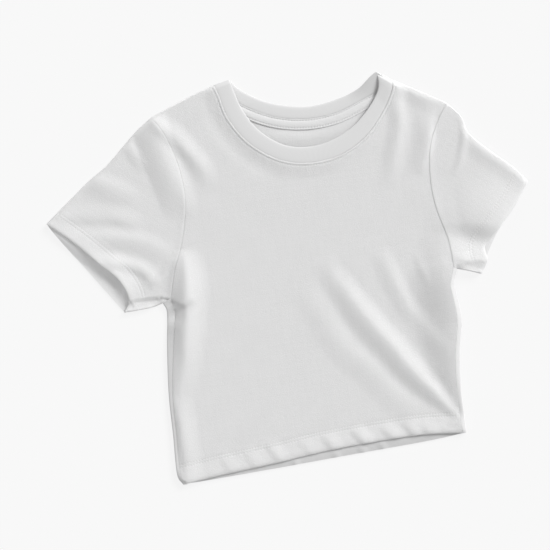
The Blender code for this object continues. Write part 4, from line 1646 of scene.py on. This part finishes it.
@dataclass
class NeckTape:
    """The tape over the back neck seam, on the inner face of the back."""

    cloth: LaidCloth
    setback: float = 0.12       # from the neck seam
    width: float = 12.0
    end: float = 0.05           # share of the seam that each end stops short by
    stations: int = 400
    wall: float = 0.7
    lift: float = 0.2           # off the back's cloth
    stitches: tuple[float, float] = (1.9, 10.2)
    stitch_depth: float = 0.15
    hole_depth: float = 0.5
    flat: tuple[float, float] = (0.21, 0.013)

    def build(self, finishes: Finishes) -> bpy.types.Object:
        """Make the tape and its stitches.

        Args:
            finishes: The garment's finishes.

        Returns:
            The tape.
        """
        seam = self.cloth.outline.neck_seam[Layer.LOWER]
        runs = np.linspace(self.end, 1 - self.end, self.stations) * run_of(seam)[-1]
        rows = [StitchRow(at_runs(shifted(seam, -off), runs), depth=self.stitch_depth,
                          hole=self.hole_depth) for off in self.stitches]
        flat = np.stack([at_runs(shifted(seam, -self.setback - share * self.width), runs)
                         for share in TAPE_COLUMNS], axis=1)
        plane = flat.reshape(-1, 2)

        def height(points: Array) -> Array:
            """Heights of the tape's face with its stitches.

            Args:
                points: Points of the plane.

            Returns:
                The height at each point.
            """
            off = nearest_on(seam, points).gap - self.setback
            face = WALL + self.lift + self.wall + profile(off, TAPE_FACE)
            for row in rows:
                face += row.groove(points)
            return face

        points = np.column_stack([plane, height(plane)])
        faces = [(face[0], *face[:0:-1]) for face in grid_faces(*flat.shape[:2])]
        obj = make_object("back_neck_tape", *shell(points, faces, self.wall), finishes.tape)
        sewn = stitching("tape_stitches", rows, height, finishes.thread)
        dress(obj, "neck_tape", self.flat, trims=[sewn])
        return obj


# ------------------------------------------------------------------------------------- studio
@dataclass
class Studio:
    """A plain pale floor, a soft key light, even fill light, and the camera above."""

    centre: tuple[float, float] = (-0.0226, -0.0008)
    height: float = 2.0
    view_width: float = 0.616           # of the floor, across the picture
    film_width: float = 36.0            # mm
    farthest: float = 100.0
    sun_bearing: tuple[float, float] = (0.7826, 0.6225)     # the way to it, east and north
    sun_elevation: float = 35.0         # degrees
    sun_strength: float = 2.7
    sun_spread: float = 25.0            # degrees
    fill_strength: float = 0.43
    floor_size: float = 60.0
    floor_gap: float = 0.0004           # below the cloth, so that their faces don't coincide
    floor_colour: str = "#5a5a5a"
    floor_glow: float = 0.845

    def add_floor(self) -> None:
        """Lay the floor, a dull paper lit from behind to an even white."""
        bpy.ops.mesh.primitive_plane_add(size=self.floor_size,
                                         location=(0.0, 0.0, -self.floor_gap))
        floor = bpy.context.object
        floor.name = "studio_floor"
        paper, _ = start_finish("studio_paper", {
            "Base Color": linear(self.floor_colour), "Roughness": 1.0,
            "Specular IOR Level": 0.0, "Emission Color": WHITE,
            "Emission Strength": self.floor_glow})
        floor.data.materials.append(paper)

    def add_lights(self) -> None:
        """Set the key light and the fill light."""
        lamp = bpy.data.lights.new("key", "SUN")
        lamp.energy = self.sun_strength
        lamp.angle = math.radians(self.sun_spread)
        key = bpy.data.objects.new("key", lamp)
        bpy.context.scene.collection.objects.link(key)
        up = math.radians(self.sun_elevation)
        east, north = self.sun_bearing
        towards = Vector((east * math.cos(up), north * math.cos(up), math.sin(up)))
        key.rotation_euler = towards.to_track_quat("Z", "Y").to_euler()
        world = bpy.data.worlds.new("fill")
        world.use_nodes = True
        sky = world.node_tree.nodes["Background"]
        sky.inputs["Color"].default_value = WHITE
        sky.inputs["Strength"].default_value = self.fill_strength
        bpy.context.scene.world = world

    def add_camera(self) -> None:
        """Set the camera straight above, turned so that the garment lies as it should."""
        lens = bpy.data.cameras.new("camera")
        lens.sensor_width = self.film_width
        lens.lens = self.film_width * self.height / self.view_width
        lens.clip_end = self.farthest
        camera = bpy.data.objects.new("camera", lens)
        camera.location = (*self.centre, self.height)
        camera.rotation_euler = (0.0, 0.0, -math.radians(TILT))
        bpy.context.scene.collection.objects.link(camera)
        bpy.context.scene.camera = camera
        bpy.context.scene.view_settings.view_transform = "Standard"

    def build(self) -> None:
        """Set up the whole studio."""
        self.add_floor()
        self.add_lights()
        self.add_camera()


def main() -> None:
    """Build the garment's pieces in order, and the studio round them."""
    logging.basicConfig(level=logging.INFO, format="%(message)s")
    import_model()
    cloth = LaidCloth(Outline())
    finishes = Finishes.make()
    pieces = (
        Back(cloth), NeckTape(cloth),
        Sleeve(cloth, Side.LEFT, "left_sleeve", "sleeve_left"),
        Sleeve(cloth, Side.RIGHT, "right_sleeve", "sleeve_right", flat=(0.36, 0.12),
               area=0.026),
        Front(cloth), Neckband(cloth),
    )
    for piece in pieces:
        obj = piece.build(finishes)
        LOG.info("built %s", obj.name)
    Studio().build()


if __name__ == "__main__":
    main()
